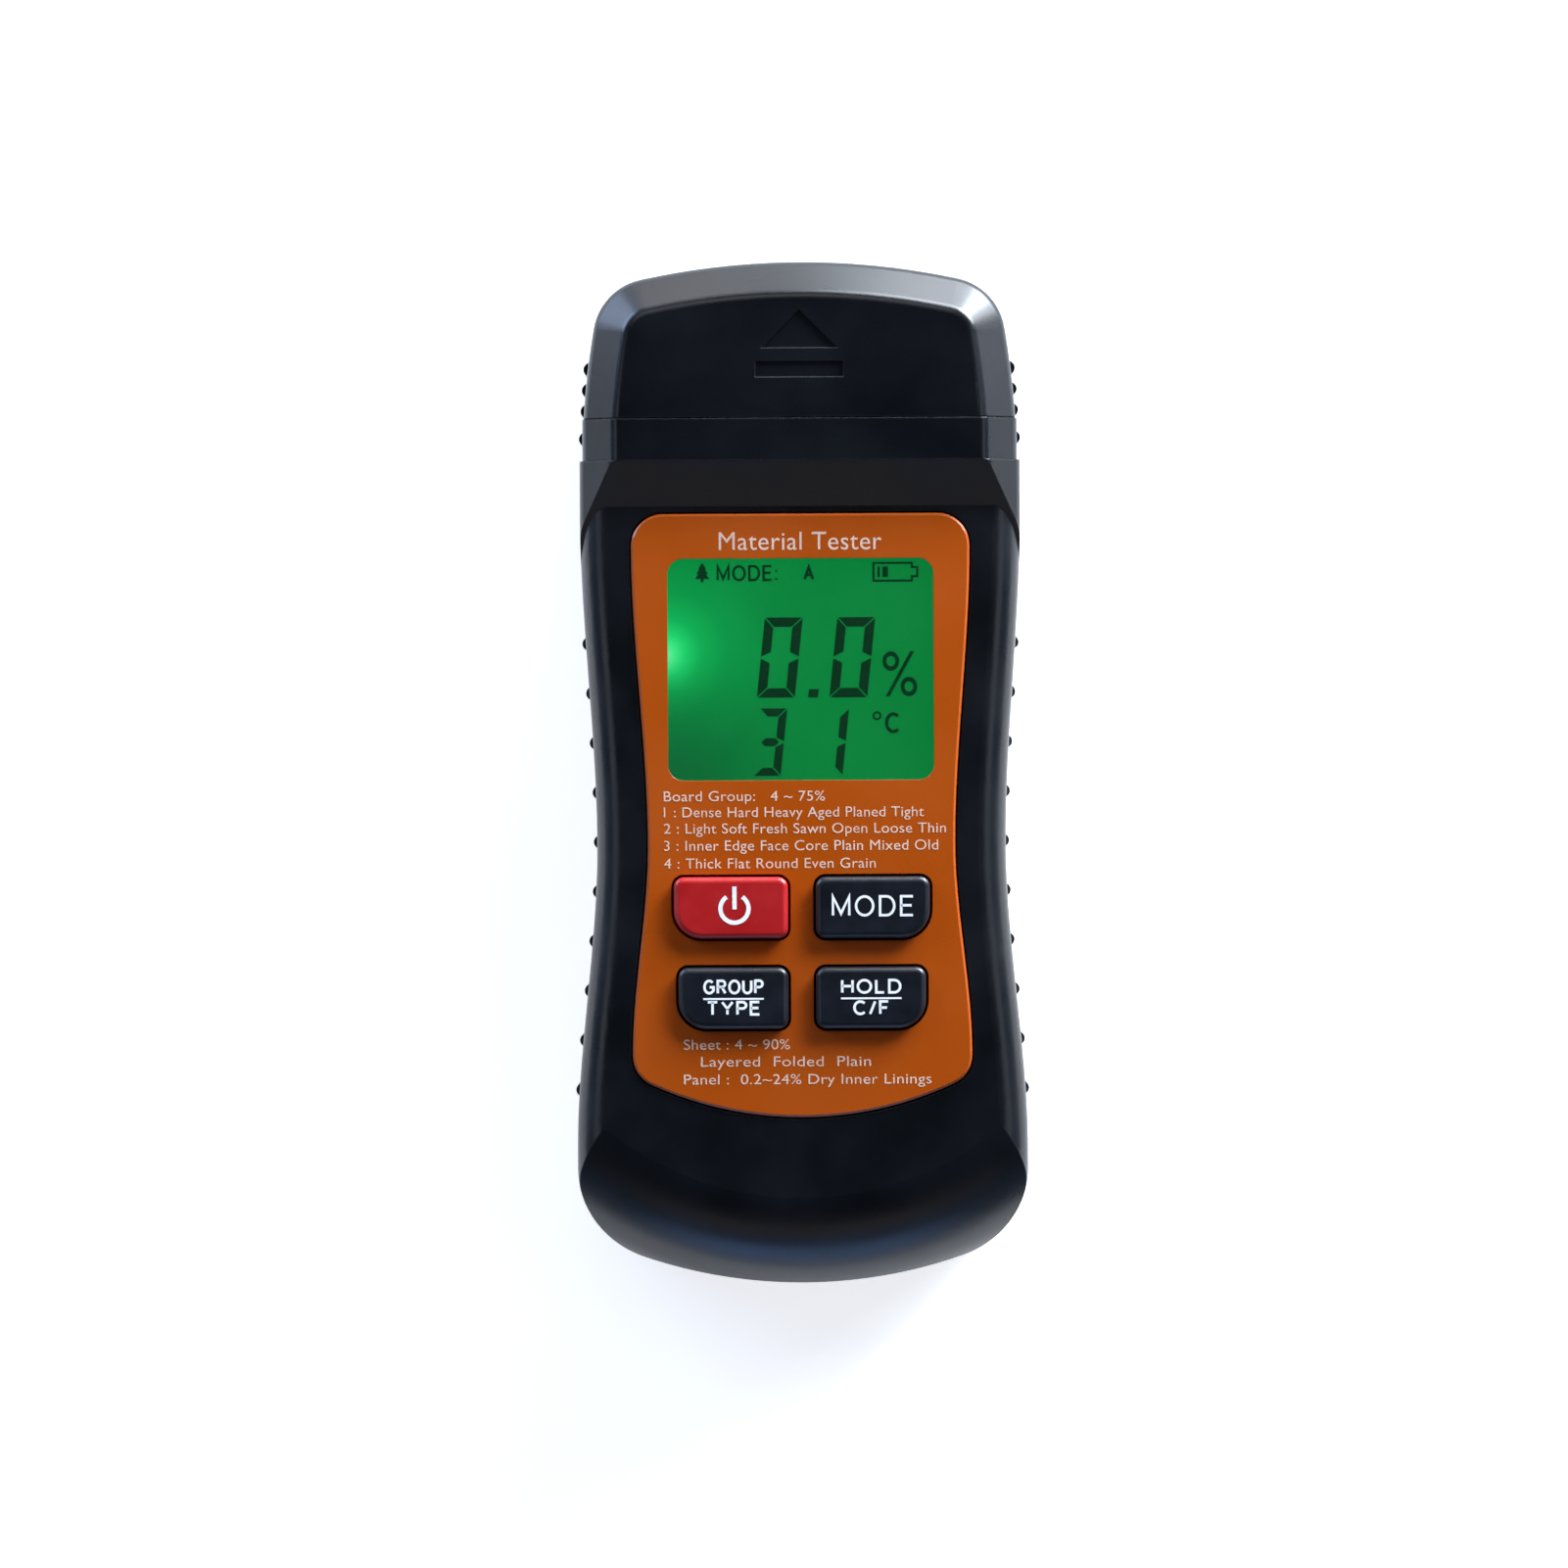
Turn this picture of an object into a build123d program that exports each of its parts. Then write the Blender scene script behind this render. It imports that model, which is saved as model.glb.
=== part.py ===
from build123d import *
import os
from math import hypot

# Pin-type moisture meter: a hand-held case with a display, four keys, a pull-off cap
# over two measuring pins and a sliding battery door.
# Millimetres. The meter lies on its back: X across, +Y towards the pins, +Z out of the
# front. The origin is the middle of the back face.

# ---- Overall form ----
length = 144.0            # foot end to cap end
depth = 31.0              # back face to the head's front face
face_z = 28.0             # height of the sunk face that carries the faceplate
split_z = 14.0            # joint plane between the rear and front shells
shoulder_half_width = 31.0
waist_half_width = 28.8
foot_half_width = 31.75
shoulder_drop = 8.0       # head joint down to the start of the waist curve
waist_from_foot = 62.0
hip_from_foot = 19.0      # where the waist curve ends above the foot
foot_arc_radius = 71.0
foot_corner_radius = 13.5
case_front_round = 4.0
case_back_round = 3.0

# ---- Head: cap and collar ----
cap_length = 22.0
collar_length = 6.0
ramp_length = 6.5         # slope from the sunk face up to the head
collar_step = 0.4         # collar set in from the case sides
cap_rim_half_width = 30.4
cap_side_bow = 0.35       # outward bow of the cap's tapering sides
cap_taper = 2.5           # how far each side draws in by the cap's end
cap_end_radius = 105.0
cap_corner_radius = 8.5
head_bevel = 4.6          # slope round the head's front edge
head_bevel_round = 1.8    # softening of the slope's two creases
cap_wall = 2.0
cap_gap = 0.3             # running gap between neck and cap
neck_length = 6.0
neck_wall = 1.8
neck_corner_radius = 3.0
cap_seam = 0.15           # visible seam between cap rim and collar
spigot_length = 3.0       # the collar's plug into the shells
sign_depth = 0.35         # eject sign sunk into the cap's front
sign_bar_from_rim = 5.6
sign_bar_width = 12.4
sign_bar_height = 2.3
sign_gap = 1.8            # between the bar and the triangle
sign_triangle_half_width = 5.4

# ---- Walls ----
side_wall = 2.2
front_wall = 2.4
rear_wall = 1.8
nose_radius = 44.0        # plan radius where the foot starts to round over
nose_centre_from_foot = 56.2
nose_depth = 12.2         # fall of the front face at the foot end
nose_overrun = 1.6        # the rounding runs this far past the foot end
nose_cavity_z = 21.0
upper_cavity_from_foot = 17.0
nose_middle_from_foot = 3.6
nose_middle_fall = 3.4    # fall of the front face there
lip_height = 1.2          # locating lip on the rear shell
lip_width = 0.9
mouth_lift = 0.6          # head opening above the rear wall
mouth_drop = 0.2          # and below the front wall
seat_gap = 0.1            # between pieces that rest in each other

# ---- Grips and ribs ----
grip_thickness = 1.45
grip_low_z = 6.5
grip_high_z = 21.5
grip_corner_radius = 3.0
rib_end_gap = 1.5         # rib ends in from the grip's edges
grip_top_from_head = 20.0
grip_foot_from_foot = 21.5
rib_count = 10
rib_pitch = 7.0
rib_first_from_head = 25.6
rib_half_length = 0.875
rib_proud = 0.55
head_rib_count = 3
head_rib_pitch = 2.95
head_rib_first = 1.1      # first rib above the cap rim
head_rib_proud = 0.5
collar_rib_from_rim = 2.8
head_rib_end_gap = 3.0    # rib ends in from the rounded edges

# ---- Faceplate and display ----
plate_margin = 7.2        # plate edge in from the case sides
plate_top_gap = 1.0       # below the foot of the ramp
plate_from_foot = 23.6
plate_arc_radius = 51.0
plate_corner_radius = 4.5
plate_hip_from_foot = 8.9
plate_thickness = 1.3
plate_proud = 0.3
plate_gap = 0.25
plate_edge = 0.3
window_width = 37.4
window_height = 31.2
window_top_gap = 6.3      # plate's top edge down to the window
window_corner_radius = 2.2
window_gap = 0.05
window_thickness = 1.2
window_sink = 0.1
frame_margin = 1.6        # display frame beyond the window
frame_wall = 0.9
frame_gap = 0.3
frame_drop = 0.05         # frame below the faceplate
glass_thickness = 1.8
glass_gap = 0.15
guide_thickness = 2.0
guide_corner = 0.8
lamp_thickness = 1.2
lamp_width = 3.6
lamp_above_middle = 2.0
lamp_gap = 0.2
strip_width = 1.5
strip_length = 33.0
strip_from_glass_edge = 0.3
strip_gap = 0.4

# ---- Keys ----
key_height = 8.65
key_widths = (16.05, 15.45)
key_middle_gap = 3.9
key_rows_from_foot = (53.1, 40.4)
key_corner_radius = 1.4
key_outer_corner_radius = 4.0
key_proud = 1.5           # above the faceplate
key_hole_gap = 0.35
key_bevel = 0.8
key_flange = 0.7
key_flange_thickness = 0.9
key_flange_gap = 0.3
key_travel = 0.9
pill_radius = 1.9
pad_radius = 2.3
pad_thickness = 0.05
mat_thickness = 0.5
mat_hole_radius = 2.8
mat_margin = 1.5
mat_corner_radius = 2.0
press_gap = 0.1           # left between pill and pad at full travel

# ---- Circuit board ----
board_thickness = 1.6
board_from_front_wall = 2.9
board_half_width = 24.4
board_foot_from_foot = 26.0
board_tail_half_width = 18.6
board_tail_length = 11.6
board_screw_x = 22.3
board_screw_from_head = 18.0    # upper screws below the head joint
board_screw_from_foot = 31.0
board_screw_radius = 0.9
board_boss_radius = 1.8
board_head_radius = 1.7
board_head_height = 1.2
board_screw_length = 3.6
board_screw_gap = 0.1
board_screw_edge = 1.6    # board beyond the upper screws' bosses
board_corner_radius = 0.8
board_slot_length = 1.8
board_slot_width = 0.4
board_slot_depth = 0.6
board_hole_end = 0.4      # blind screw holes stop short of the front wall

# ---- Housing screws ----
screw_inset = 8.0         # axis in from the case side
screw_from_head = 10.0    # upper screws below the head joint
screw_from_foot = 15.0
screw_radius = 1.45
screw_head_radius = 2.8
screw_head_height = 2.0
screw_hole_gap = 0.15
screw_well_depth = 6.0
screw_tip_z = 20.0
boss_radius = 3.5
well_wall = 1.0
screw_head_round = 0.6
screw_slot_length = 3.0
screw_slot_width = 0.6
screw_slot_depth = 1.1
screw_tip_gap = 1.0

# ---- Battery, bay and door ----
battery_width = 26.5
battery_length = 46.4
battery_thick = 17.5
battery_round = 2.0
battery_from_foot = 10.3
battery_lift = 0.4        # battery above the door's inner face
terminal_spacing = 12.7
terminal_height = 2.1
stud_radius = 2.9
socket_radius = 3.9
bay_gap = 0.5
bay_wall = 1.3
bay_roof = 0.7
bay_head_room = 8.3       # space for the snap at the battery's head end
pad_length = 0.9
snap_thickness = 4.6
snap_width = 25.0
snap_height = 12.0
snap_gap = 0.1
snap_round = 3.0
bay_top_gap = 0.2
lead_radius = 0.65
lead_spacing = 6.0
lead_rise = 2.5           # leads above the battery's middle
lead_run = 6.0            # straight run past the bay before the leads turn up
lead_bend = 3.5
door_half_width = 17.0
door_gap = 0.3
door_thickness = 1.8
door_set_back = 0.1
door_tongue = 1.2
door_tongue_thickness = 0.7
door_margin = 1.4         # door beyond the bay's head end
door_grip_count = 5
door_grip_pitch = 1.8
door_grip_width = 16.0
door_grip_height = 0.9
door_grip_from_top = 12.0
door_arrow_from_top = 19.0
door_arrow_width = 8.0
door_arrow_side = 6.0
door_mark_depth = 0.5
ledge_wall = 1.5          # material beside the door's grooves
ledge_roof = 1.2          # material over the door's grooves

# ---- Measuring pins ----
pin_spacing = 25.0
pin_z = 15.5
pin_radius = 1.0
pin_exposed = 9.0
pin_tip_length = 4.0
pin_thread_radius = 1.25
pin_thread_length = 5.0
block_thickness = 4.2
block_boss = 1.3
block_boss_radius = 5.2
socket_sleeve_radius = 2.2
socket_sleeve_length = 9.0
socket_collar_radius = 2.9
socket_collar_length = 1.6
pin_shoulder = 0.4        # taper from the thread to the shank
pin_point_radius = 0.08
pin_lead_bend = 2.5
lead_tail_from_end = 4.0  # solder point in from the board's head end

# ---- Parts on the board ----
chip_x = -6.0
chip_below_window = 6.0
chip_size = 10.0
chip_height = 1.4
chip_lift = 0.1           # chip body off the board
chip_leads = 8
chip_lead_pitch = 1.0
chip_lead_width = 0.4
chip_lead_reach = 1.2
chip_lead_thickness = 0.3
chip_dot_inset = 1.4
chip_dot_radius = 0.5
buzzer_x = 13.0
buzzer_radius = 6.0
buzzer_height = 6.5
buzzer_round = 0.6
buzzer_hole_radius = 1.0
crystal_above_chip = 13.0
crystal_length = 11.0
crystal_width = 4.6
crystal_height = 3.4
crystal_round = 0.5
resistor_x = 15.0
resistor_below_window = 11.0
resistor_pitch = (3.2, 2.4)
resistor_grid = (4, 3)
resistor_size = (2.0, 1.2, 0.6)
bead_radius = 1.2
bead_foot_radius = 1.0

# ---- Derived places ----
cap_end_y = length / 2
foot_y = -length / 2
cap_rim_y = cap_end_y - cap_length
collar_y = cap_rim_y - collar_length
ramp_foot_y = collar_y - ramp_length
shoulder_y = collar_y - shoulder_drop
screw_ys = (collar_y - screw_from_head, foot_y + screw_from_foot)
board_screw_ys = (collar_y - board_screw_from_head, foot_y + board_screw_from_foot)
waist_y = foot_y + waist_from_foot
hip_y = foot_y + hip_from_foot
inner_front_z = face_z - front_wall
board_top_z = inner_front_z - board_from_front_wall
board_low_z = board_top_z - board_thickness
plate_top_y = ramp_foot_y - plate_top_gap
plate_foot_y = foot_y + plate_from_foot
plate_hip_y = plate_foot_y + plate_hip_from_foot
plate_top_z = face_z + plate_proud
plate_low_z = plate_top_z - plate_thickness
window_y = plate_top_y - window_top_gap - window_height / 2
collar_half_width = shoulder_half_width - collar_step
tiny = 0.01


def smooth_step(y, low_y, high_y, low_value, high_value):
    """Value at y on the even S-curve that joins two levels with no slope at its ends."""
    t = (y - low_y) / (high_y - low_y)
    return low_value + (high_value - low_value) * t * t * (3 - 2 * t)


def case_half_width(y):
    """Half the width of the lower case at y."""
    if y >= shoulder_y:
        return shoulder_half_width
    if y >= waist_y:
        return smooth_step(y, waist_y, shoulder_y, waist_half_width, shoulder_half_width)
    return smooth_step(max(y, hip_y), hip_y, waist_y, foot_half_width, waist_half_width)


def s_curve(low, high):
    """Bezier between two points on the case side, upright at both ends."""
    third = (high[1] - low[1]) / 3
    return Bezier(low, (low[0], low[1] + third), (high[0], high[1] - third), high)


def case_outline(z, inset=0.0):
    """Plan outline of the lower case at height z, drawn in by inset."""
    foot_centre_y = foot_y + foot_arc_radius
    arc_radius = foot_arc_radius - inset
    shoulder_x = shoulder_half_width - inset
    foot_x = foot_half_width - inset
    corner_y = foot_centre_y - (arc_radius**2 - foot_x**2) ** 0.5
    waist = (waist_half_width - inset, waist_y)
    with BuildSketch(Plane.XY.offset(z)) as outline:
        with BuildLine():
            Polyline((0, collar_y - inset), (shoulder_x, collar_y - inset), (shoulder_x, shoulder_y))
            s_curve(waist, (shoulder_x, shoulder_y))
            s_curve((foot_x, hip_y), waist)
            Line((foot_x, hip_y), (foot_x, corner_y))
            RadiusArc((foot_x, corner_y), (0, foot_y + inset), arc_radius)
            mirror(about=Plane.YZ)
        make_face()
        low = outline.vertices().filter_by_position(Axis.Y, corner_y - tiny, corner_y + tiny)
        fillet(low, radius=foot_corner_radius - inset)
    return outline.sketch


def cap_half_width(y):
    """Half the width of the cap at y, on the bowed arc of its side."""
    rise = (y - cap_rim_y) / cap_length
    return cap_rim_half_width - cap_taper * rise + 4 * cap_side_bow * rise * (1 - rise)


def cap_outline(z, inset=0.0):
    """Plan outline of the cap at height z, drawn in by inset."""
    end_centre_y = cap_end_y - cap_end_radius
    side_x = cap_rim_half_width - cap_taper
    side_y = end_centre_y + (cap_end_radius**2 - side_x**2) ** 0.5
    middle = (cap_rim_half_width - cap_taper / 2 + cap_side_bow, (cap_rim_y + side_y) / 2)
    with BuildSketch(Plane.XY.offset(z)) as outline:
        with BuildLine():
            Line((0, cap_rim_y), (cap_rim_half_width, cap_rim_y))
            ThreePointArc((cap_rim_half_width, cap_rim_y), middle, (side_x, side_y))
            RadiusArc((side_x, side_y), (0, cap_end_y), -cap_end_radius)
            mirror(about=Plane.YZ)
        make_face()
        high = outline.vertices().filter_by_position(Axis.Y, side_y - 1, side_y + 1)
        fillet(high.filter_by(lambda v: abs(v.X) > 1), radius=cap_corner_radius)
        if inset:
            offset(amount=-inset)
    return outline.sketch


def rounded_slab(outline, height, back_round, front_round, rim_y, bevel=0.0):
    """Slab on the outline with rounded edges, square along the rim; a bevel slopes its front edge."""
    with BuildPart() as slab:
        extrude(outline, amount=height)
        top = slab.faces().sort_by(Axis.Z)[-1]
        rim = top.edges().filter_by(lambda e: abs(e.center().Y - rim_y) > tiny)
        if bevel:
            chamfer(rim, length=bevel)
            top = slab.faces().sort_by(Axis.Z)[-1]
            crease_z = (top.center().Z, top.center().Z - bevel)
            rim = slab.edges().filter_by(lambda e: abs(e.center().Y - rim_y) > tiny)
            rim = rim.filter_by(lambda e: all(
                min(abs(v.Z - z) for z in crease_z) < tiny for v in e.vertices()) and any(
                abs(e.center().Z - z) < tiny for z in crease_z))
        fillet(rim, radius=front_round)
        bottom = slab.faces().sort_by(Axis.Z)[0]
        fillet(bottom.edges().filter_by(lambda e: abs(e.center().Y - rim_y) > tiny), radius=back_round)
    return slab.part


def head_section(y):
    """Cross-section of the head on the plane at y, facing -Y."""
    with BuildSketch(Plane.XZ.offset(-y)) as section:
        with Locations((0, depth / 2)):
            Rectangle(2 * collar_half_width, depth)
        fillet(section.vertices().group_by(Axis.Y)[0], radius=case_back_round)
        chamfer(section.vertices().group_by(Axis.Y)[-1], length=head_bevel)
        creases = section.vertices().filter_by(lambda v: v.Y > depth - head_bevel - tiny)
        fillet(creases, radius=head_bevel_round)
    return section.sketch


def save(part, name):
    """Label one finished piece and write it to its own file."""
    part.label = name
    export_step(part, f"parts/{name}.step")


os.makedirs("parts", exist_ok=True)

# ---- The outer form of the lower case, from which the shells and the door are cut ----
head_wedge = rounded_slab(case_outline(0), depth, case_back_round, head_bevel_round, collar_y,
                          head_bevel)
case_slab = rounded_slab(case_outline(0), face_z, case_back_round, case_front_round, collar_y)
nose_centre_y = foot_y + nose_centre_from_foot
nose_reach_y = nose_centre_y - hypot(foot_half_width, nose_centre_from_foot)
nose_low_z = face_z - nose_depth
with BuildSketch(Plane.YZ) as nose_profile:
    with BuildLine():
        nose_start = (nose_centre_y - nose_radius, face_z)
        nose_middle = (foot_y + nose_middle_from_foot, face_z - nose_middle_fall)
        nose_finish = (foot_y - nose_overrun, nose_low_z)
        ThreePointArc(nose_start, nose_middle, nose_finish)
        Polyline(nose_finish, (nose_reach_y, nose_low_z), (nose_reach_y, depth),
                 (nose_start[0], depth), nose_start)
    make_face()

with BuildPart() as case_form:
    add(head_wedge)
    slope = Plane(origin=(0, ramp_foot_y, face_z), x_dir=(1, 0, 0),
                  z_dir=(0, face_z - depth, ramp_length))
    split(bisect_by=slope, keep=Keep.BOTTOM)
    add(case_slab)
    nose_axis = Axis((0, nose_centre_y, 0), (0, 0, 1))
    revolve(nose_profile.sketch, axis=nose_axis, revolution_arc=80, mode=Mode.SUBTRACT)
    revolve(nose_profile.sketch, axis=nose_axis, revolution_arc=-80, mode=Mode.SUBTRACT)

# ---- The hollow shared by both shells ----
with BuildPart() as case_hollow:
    extrude(case_outline(rear_wall, side_wall), amount=inner_front_z - rear_wall)
    upper_low = (0, foot_y + upper_cavity_from_foot, nose_cavity_z)
    with Locations(upper_low):
        Box(2 * foot_half_width, upper_cavity_from_foot, depth,
            align=(Align.CENTER, Align.MAX, Align.MIN), mode=Mode.SUBTRACT)

mouth_half_width = collar_half_width - side_wall
mouth_low_z = rear_wall + mouth_lift
mouth_high_z = inner_front_z - mouth_drop
with BuildPart() as head_mouth:
    with Locations((0, collar_y + 1, mouth_low_z)):
        Box(2 * mouth_half_width, side_wall + lip_width + 1.4, mouth_high_z - mouth_low_z,
            align=(Align.CENTER, Align.MAX, Align.MIN))

# ---- Places of the screws ----
screw_points = [(side * (case_half_width(y) - screw_inset), y) for y in screw_ys for side in (-1, 1)]
board_screw_points = [(side * board_screw_x, y) for y in board_screw_ys for side in (-1, 1)]

# ---- Battery bay and door places, used by the rear shell, the battery and the door ----
bay_half_width = battery_width / 2 + bay_gap
battery_y = foot_y + battery_from_foot
battery_top_y = battery_y + battery_length
battery_low_z = door_set_back + door_thickness + battery_lift
bay_low_y = battery_y - pad_length
bay_top_y = battery_top_y + bay_head_room
bay_top_z = battery_low_z + battery_thick + bay_top_gap
door_top_y = bay_top_y + door_margin
door_low_z = door_set_back
door_high_z = door_low_z + door_thickness
tongue_low_z = door_high_z - door_tongue_thickness
ledge_half_width = door_half_width + door_tongue + door_gap + ledge_wall
ledge_high_z = door_high_z + 2 * door_gap + ledge_roof
lead_z = battery_low_z + battery_thick / 2 + lead_rise

# ---- Display places ----
frame_half_width = window_width / 2 + frame_margin
frame_half_height = window_height / 2 + frame_margin
frame_top_z = plate_low_z - frame_drop
glass_top_z = frame_top_z - glass_gap
glass_low_z = glass_top_z - glass_thickness
guide_top_z = glass_low_z - seat_gap

# ---- Keys: name, middle, width ----
key_names = ("power_key", "wood_key", "wall_key", "hold_key")
key_places = []
for row, from_foot in enumerate(key_rows_from_foot):
    for side in (-1, 1):
        middle_x = side * (key_middle_gap + key_widths[row]) / 2
        key_places.append((middle_x, foot_y + from_foot, key_widths[row]))


def key_outline(place, z, grow=0.0):
    """Outline of one key at height z, grown by a margin: only its lower outer corner is wide."""
    middle_x, middle_y, width = place
    with BuildSketch(Plane.XY.offset(z)) as outline:
        with Locations((middle_x, middle_y)):
            Rectangle(width, key_height)
        low = outline.vertices().filter_by(lambda v: v.Y < middle_y)
        outer = low.sort_by(lambda v: abs(v.X))[-1]
        fillet(outer, radius=key_outer_corner_radius)
        sharp = outline.vertices().filter_by(lambda v: abs(abs(v.X - middle_x) - width / 2) < tiny)
        sharp = sharp.filter_by(lambda v: abs(abs(v.Y - middle_y) - key_height / 2) < tiny)
        fillet(sharp, radius=key_corner_radius)
        if grow:
            offset(amount=grow)
    return outline.sketch


def plate_outline(z, grow=0.0):
    """Outline of the faceplate at height z, grown by a margin."""
    arc_centre_y = plate_foot_y + plate_arc_radius
    arc_radius = plate_arc_radius + grow
    corner = plate_corner_radius + grow
    margin = plate_margin - grow
    top_x = shoulder_half_width - margin
    top_y = plate_top_y + grow
    hip_x = case_half_width(plate_hip_y) - margin
    low_y = arc_centre_y - (arc_radius**2 - hip_x**2) ** 0.5
    waist = (waist_half_width - margin, waist_y)
    with BuildSketch(Plane.XY.offset(z)) as outline:
        with BuildLine():
            Line((0, top_y), (top_x - corner, top_y))
            RadiusArc((top_x - corner, top_y), (top_x, top_y - corner), corner)
            s_curve(waist, (top_x, top_y - corner))
            s_curve((hip_x, plate_hip_y), waist)
            Line((hip_x, plate_hip_y), (hip_x, low_y))
            RadiusArc((hip_x, low_y), (0, plate_foot_y - grow), arc_radius)
            mirror(about=Plane.YZ)
        make_face()
        corners = outline.vertices().filter_by_position(Axis.Y, low_y - tiny, low_y + tiny)
        fillet(corners, radius=corner)
    return outline.sketch


def window_outline(z, grow=0.0):
    """Outline of the display window at height z, grown by a margin."""
    with BuildSketch(Plane.XY.offset(z)) as outline:
        with Locations((0, window_y)):
            RectangleRounded(window_width + 2 * grow, window_height + 2 * grow,
                             window_corner_radius + grow)
    return outline.sketch


def frame_outline(z, grow=0.0):
    """Outline of the display frame at height z, grown by a margin."""
    with BuildSketch(Plane.XY.offset(z)) as outline:
        with Locations((0, window_y)):
            Rectangle(2 * (frame_half_width + grow), 2 * (frame_half_height + grow))
    return outline.sketch


def grip_pocket(side, depth_in):
    """Block that covers one side grip: from outside the case to a depth inside its wall."""
    low_y = foot_y + grip_foot_from_foot
    high_y = collar_y - grip_top_from_head
    wall = case_outline(grip_low_z, depth_in)
    with BuildPart() as pocket:
        with Locations((side * foot_half_width, (low_y + high_y) / 2, (grip_low_z + grip_high_z) / 2)):
            Box(2 * foot_half_width, high_y - low_y, grip_high_z - grip_low_z)
        fillet(pocket.edges().filter_by(Axis.X), radius=grip_corner_radius)
        extrude(wall, amount=grip_high_z - grip_low_z, mode=Mode.SUBTRACT)
    return pocket.part


grip_pockets = [grip_pocket(side, grip_thickness) for side in (-1, 1)]

# ---- Front shell ----
key_hole_sketches = [key_outline(place, inner_front_z, key_hole_gap) for place in key_places]
plate_pocket = plate_outline(plate_low_z, plate_gap)
frame_hole = frame_outline(inner_front_z, frame_gap)
with BuildPart() as front_shell:
    add(case_form.part)
    split(bisect_by=Plane.XY.offset(split_z), keep=Keep.TOP)
    add(case_hollow.part, mode=Mode.SUBTRACT)
    add(head_mouth.part, mode=Mode.SUBTRACT)
    with BuildSketch(Plane.XY.offset(split_z)):
        with Locations(screw_points):
            Circle(boss_radius)
    extrude(amount=inner_front_z - split_z)
    with BuildSketch(Plane.XY.offset(board_top_z)):
        with Locations(board_screw_points):
            Circle(board_boss_radius)
    extrude(amount=inner_front_z - board_top_z)
    with BuildSketch(Plane.XY.offset(split_z)):
        with Locations(screw_points):
            Circle(screw_radius)
    extrude(amount=screw_tip_z + screw_tip_gap - split_z, mode=Mode.SUBTRACT)
    with BuildSketch(Plane.XY.offset(board_top_z)):
        with Locations(board_screw_points):
            Circle(board_screw_radius)
    extrude(amount=inner_front_z - board_top_z - board_hole_end, mode=Mode.SUBTRACT)
    extrude(plate_pocket, amount=depth - plate_low_z, mode=Mode.SUBTRACT)
    extrude(frame_hole, amount=depth - inner_front_z, mode=Mode.SUBTRACT)
    for hole in key_hole_sketches:
        extrude(hole, amount=depth - inner_front_z, mode=Mode.SUBTRACT)
    for pocket in grip_pockets:
        add(pocket, mode=Mode.SUBTRACT)

# ---- Rear shell: floor, bay walls, door slot, screw wells and the locating lip ----
lip_outer = case_outline(split_z - lip_height, side_wall)
lip_inner = case_outline(split_z - lip_height, side_wall + lip_width)
with BuildPart() as lip:
    extrude(lip_outer, amount=2 * lip_height)
    extrude(lip_inner, amount=2 * lip_height, mode=Mode.SUBTRACT)
    add(head_mouth.part, mode=Mode.SUBTRACT)

slot_half_width = door_half_width + door_tongue + door_gap
slot_roof_z = door_high_z + door_gap
slot_low_z = tongue_low_z - door_gap
slot_top_y = door_top_y + door_gap
slot_length = slot_top_y - foot_y + door_gap
bay_middle_y = (bay_low_y + bay_top_y) / 2
with BuildPart() as rear_shell:
    add(case_form.part)
    split(bisect_by=Plane.XY.offset(split_z), keep=Keep.BOTTOM)
    add(case_hollow.part, mode=Mode.SUBTRACT)
    add(head_mouth.part, mode=Mode.SUBTRACT)
    add(lip.part)
    with Locations((0, slot_top_y + ledge_wall, 0)):
        Box(2 * ledge_half_width, slot_length + ledge_wall, ledge_high_z,
            align=(Align.CENTER, Align.MAX, Align.MIN))
    with Locations((0, bay_middle_y, rear_wall)):
        Box(2 * (bay_half_width + bay_wall), bay_top_y - bay_low_y + 2 * bay_wall,
            bay_top_z + bay_roof - rear_wall, align=(Align.CENTER, Align.CENTER, Align.MIN))
    with BuildSketch():
        with Locations(screw_points):
            Circle(screw_head_radius + screw_hole_gap + well_wall)
    extrude(amount=split_z)
    add(case_form.part, mode=Mode.INTERSECT)
    with Locations((0, bay_middle_y, 0)):
        Box(2 * bay_half_width, bay_top_y - bay_low_y, bay_top_z,
            align=(Align.CENTER, Align.CENTER, Align.MIN), mode=Mode.SUBTRACT)
    with Locations((0, slot_top_y, 0)):
        Box(2 * (door_half_width + door_gap), slot_length, slot_roof_z,
            align=(Align.CENTER, Align.MAX, Align.MIN), mode=Mode.SUBTRACT)
    with Locations((0, slot_top_y, slot_low_z)):
        Box(2 * slot_half_width, slot_length, slot_roof_z - slot_low_z,
            align=(Align.CENTER, Align.MAX, Align.MIN), mode=Mode.SUBTRACT)
    with Locations((0, bay_top_y + bay_wall / 2, lead_z)):
        Box(lead_spacing + 4 * lead_radius, 3 * bay_wall, 4 * lead_radius, mode=Mode.SUBTRACT)
    with BuildSketch():
        with Locations(screw_points):
            Circle(screw_head_radius + screw_hole_gap)
    extrude(amount=screw_well_depth, mode=Mode.SUBTRACT)
    with BuildSketch():
        with Locations(screw_points):
            Circle(screw_radius + screw_hole_gap)
    extrude(amount=split_z, mode=Mode.SUBTRACT)
    for pocket in grip_pockets:
        add(pocket, mode=Mode.SUBTRACT)

save(front_shell.part, "front_shell")
save(rear_shell.part, "rear_shell")

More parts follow.
